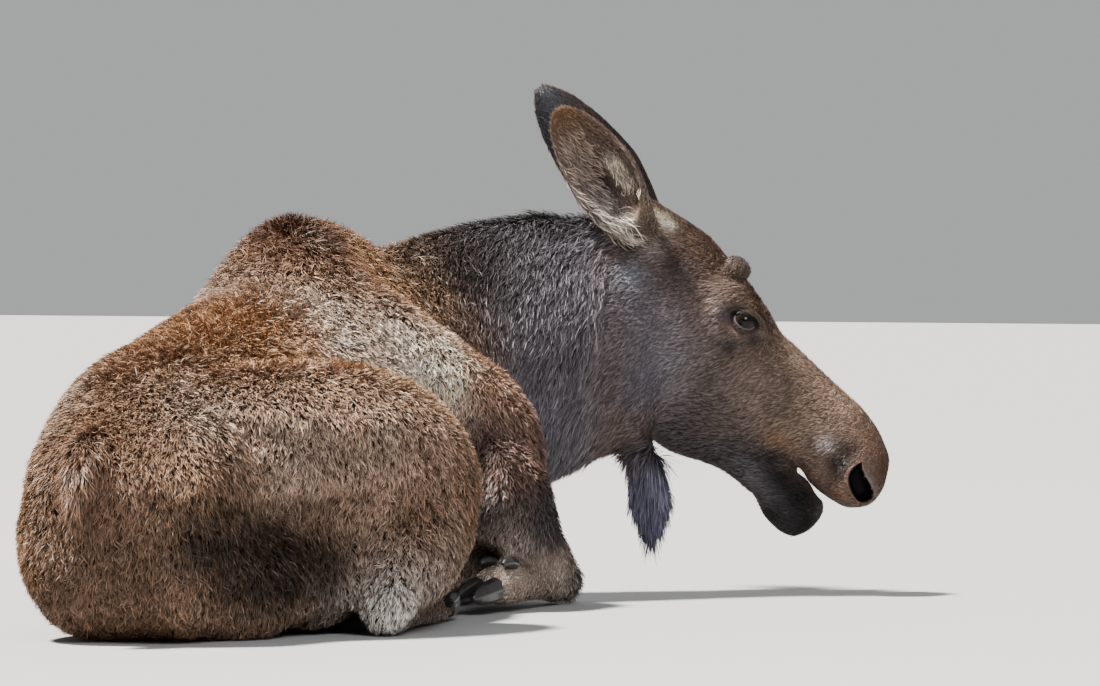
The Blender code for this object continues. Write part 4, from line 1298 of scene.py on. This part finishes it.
# long pale hairs inside the ears: from the rear rim down to the root, and along the front fold
earHair = {"height": .004, "width": .0012, "rows": 5, "tones": .3}
hairKeys = ("along", "across", "way", "length", "per", "tip", "root")
hairTable = [
    ((-.06, .30), (-.09, -.014), .30, .034, 8, "#cdc3b6", "#4c4038"),
    ((.30, .46), (-.08, -.020), .45, .030, 6, "#a89a90", "#4c4038"),
    ((.46, .84), (-.06, .010), .35, .018, 4, "#9c8879", "#4f3f35"),
    ((.24, .50), (.014, .040), -.15, .014, 9, "#d9ccb8", "#8f8070"),
]
for side, sign in sides.items():
    run, across = earAxes(side)[2], earAxes(side)[4]
    for k, row in enumerate(hairTable):
        hair = {**earHair, **dict(zip(hairKeys, row))}
        low, high = hair["along"]
        rear, fore = hair["across"]
        inside = (at[:, 1] * sign > 0) & (partAt == "ear") & (inEar > .5)
        inside &= (alongEar > low) & (alongEar < high) & (acrossEar > rear) & (acrossEar < fore)
        roots, normal = rootsOn(skin.data, inside * hair["per"] * 10000)
        way = np.zeros_like(roots) + spin @ (-run + across * hair["way"])
        hairs = locks(f"ear_hair_{side}_{k + 1}", roots, way, normal, hair)
        finished(hairs, coatFinish, "coat")
stage("eyes, lashes and ear hair")


# antler buds in velvet
def mottledFinish(name, dark, pale, grain, detail, roughness, bump, height):
    material, tree, shader = nodeTree(name)
    where = addNode(tree, "ShaderNodeTexCoord").outputs["Object"]
    mottle = addNode(tree, "ShaderNodeTexNoise", {"Vector": where, "Scale": grain, "Detail": detail})
    ramp = addNode(tree, "ShaderNodeValToRGB", {"Fac": mottle.outputs["Fac"]})
    ramp.color_ramp.elements[0].color = (*linear(dark), 1)
    ramp.color_ramp.elements[1].color = (*linear(pale), 1)
    tree.links.new(ramp.outputs["Color"], shader.inputs["Base Color"])
    shader.inputs["Roughness"].default_value = roughness
    feeds = {"Strength": bump, "Distance": height, "Height": mottle.outputs["Fac"]}
    raised = addNode(tree, "ShaderNodeBump", feeds)
    tree.links.new(raised.outputs["Normal"], shader.inputs["Normal"])
    return material


def roundedCopy(node, name, voxel, passes, weld=0):
    twin = copyOf(nodes[node], name)
    if weld:
        applyModifier(twin, "WELD", "weld", merge_threshold=weld)
    applyModifier(twin, "REMESH", "even", mode="VOXEL", voxel_size=voxel)
    applyModifier(twin, "SMOOTH", "round", factor=.5, iterations=passes)
    shadeSmooth(twin)
    return twin


fuzzSet = {
    "voxel": .0018,  # metres
    "hairs": 260000.0,  # per square metre
    "length": .006,
    "height": .0022,
    "width": .0009,
    "rows": 3,
    "tones": .3,
    "tip": "#534134",
    "root": "#17110e",
}
velvet = mottledFinish("antler_velvet", "#1f1714", "#43342b", 180.0, 4.0, .85, .5, .001)
for side, sign in sides.items():
    node = "antler_bud_" + side
    bud = roundedCopy(node, node + "_velvet", fuzzSet["voxel"], 14)
    finished(bud, velvet, "velvet", node)
    density = np.zeros(len(bud.data.vertices)) + fuzzSet["hairs"]
    roots, normal = rootsOn(bud.data, density)
    down = np.zeros_like(roots) + spin @ np.array([0, 0, -1.0])
    fuzz = locks(node + "_fuzz", roots, down + normal * .8, normal, fuzzSet)
    finished(fuzz, coatFinish, "velvet")


# hooves and dewclaws
horn = mottledFinish("black_horn", "#0d0c0c", "#2b2827", 260.0, 3.0, .28, .25, .0006)
for node in sorted(nodes):
    if "hoof" in node or "dewclaw" in node:
        claw = roundedCopy(node, node + "_horn", .0016, 10, .00002)
        finished(claw, horn, "horn", node)
stage("buds and hooves")

# floor, camera and light
shot = {
    "azimuth": 70,  # degrees, how the view turns from +Y towards +X
    "dip": 1.5,  # how far the camera looks down
    "distance": 12,
    "lens": 235.6,
    "aim": (.3205, -.1335, .442),
}
stageSet = {
    "floor": (.27, .266, .262),
    "sky": (.86, .87, .88),
    "skyStrength": .52,
}


def makeStage():
    deselect()
    bpy.ops.mesh.primitive_plane_add(size=40, location=(0, 0, 0))
    floor = bpy.context.view_layer.objects.active
    floor.name = "floor"
    material, tree, shader = nodeTree("pale_floor")
    shader.inputs["Base Color"].default_value = (*stageSet["floor"], 1)
    shader.inputs["Roughness"].default_value = .85
    floor.data.materials.append(material)
    floor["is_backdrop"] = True
    world = bpy.data.worlds.new("studio")
    bpy.context.scene.world = world
    world.use_nodes = True
    backdrop = world.node_tree.nodes["Background"]
    backdrop.inputs["Color"].default_value = (*stageSet["sky"], 1)
    backdrop.inputs["Strength"].default_value = stageSet["skyStrength"]


def lookVector():
    turn, dip = math.radians(shot["azimuth"]), math.radians(shot["dip"])
    ahead = Vector((math.sin(turn), math.cos(turn), 0))
    return ahead * math.cos(dip) - Vector((0, 0, 1)) * math.sin(dip)


def makeCamera():
    look = lookVector()
    deselect()
    bpy.ops.object.camera_add(location=Vector(shot["aim"]) - look * shot["distance"])
    camera = bpy.context.view_layer.objects.active
    camera.name = "camera"
    camera.rotation_euler = look.to_track_quat("-Z", "Y").to_euler()
    camera.data.sensor_width = 36
    camera.data.lens = shot["lens"]
    camera.data.clip_end = 60
    bpy.context.scene.camera = camera


# each light's place from the middle of the model, along the view, to its right and up, and its size and power
lights = {
    "key": {"kind": "SUN", "at": (-.5, -2.1, 4.5), "size": .12, "power": 23, "colour": (1, .97, .93)},
    "fill": {"kind": "AREA", "at": (-4, 1.2, 2.4), "size": 1.7, "power": 200, "colour": (.93, .96, 1)},
    "back": {"kind": "AREA", "at": (3.5, -.5, 3), "size": 2, "power": 70, "colour": (1, .98, .95)},
}


def addLight(name, light):
    look = lookVector()
    rightward = look.cross(Vector((0, 0, 1))).normalized()
    along, aside, up = light["at"]
    away = look * along + rightward * aside + Vector((0, 0, up))
    deselect()
    bpy.ops.object.light_add(type=light["kind"], location=Vector((0, 0, .4)) + away)
    lamp = bpy.context.view_layer.objects.active
    lamp.name = name
    setattr(lamp.data, "size" if light["kind"] == "AREA" else "angle", light["size"])
    lamp.data.energy = light["power"]
    lamp.data.color = light["colour"]
    lamp.rotation_euler = (-away).to_track_quat("-Z", "Y").to_euler()


makeStage()
makeCamera()
for name, light in lights.items():
    addLight(name, light)

low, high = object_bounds()
stage("done")
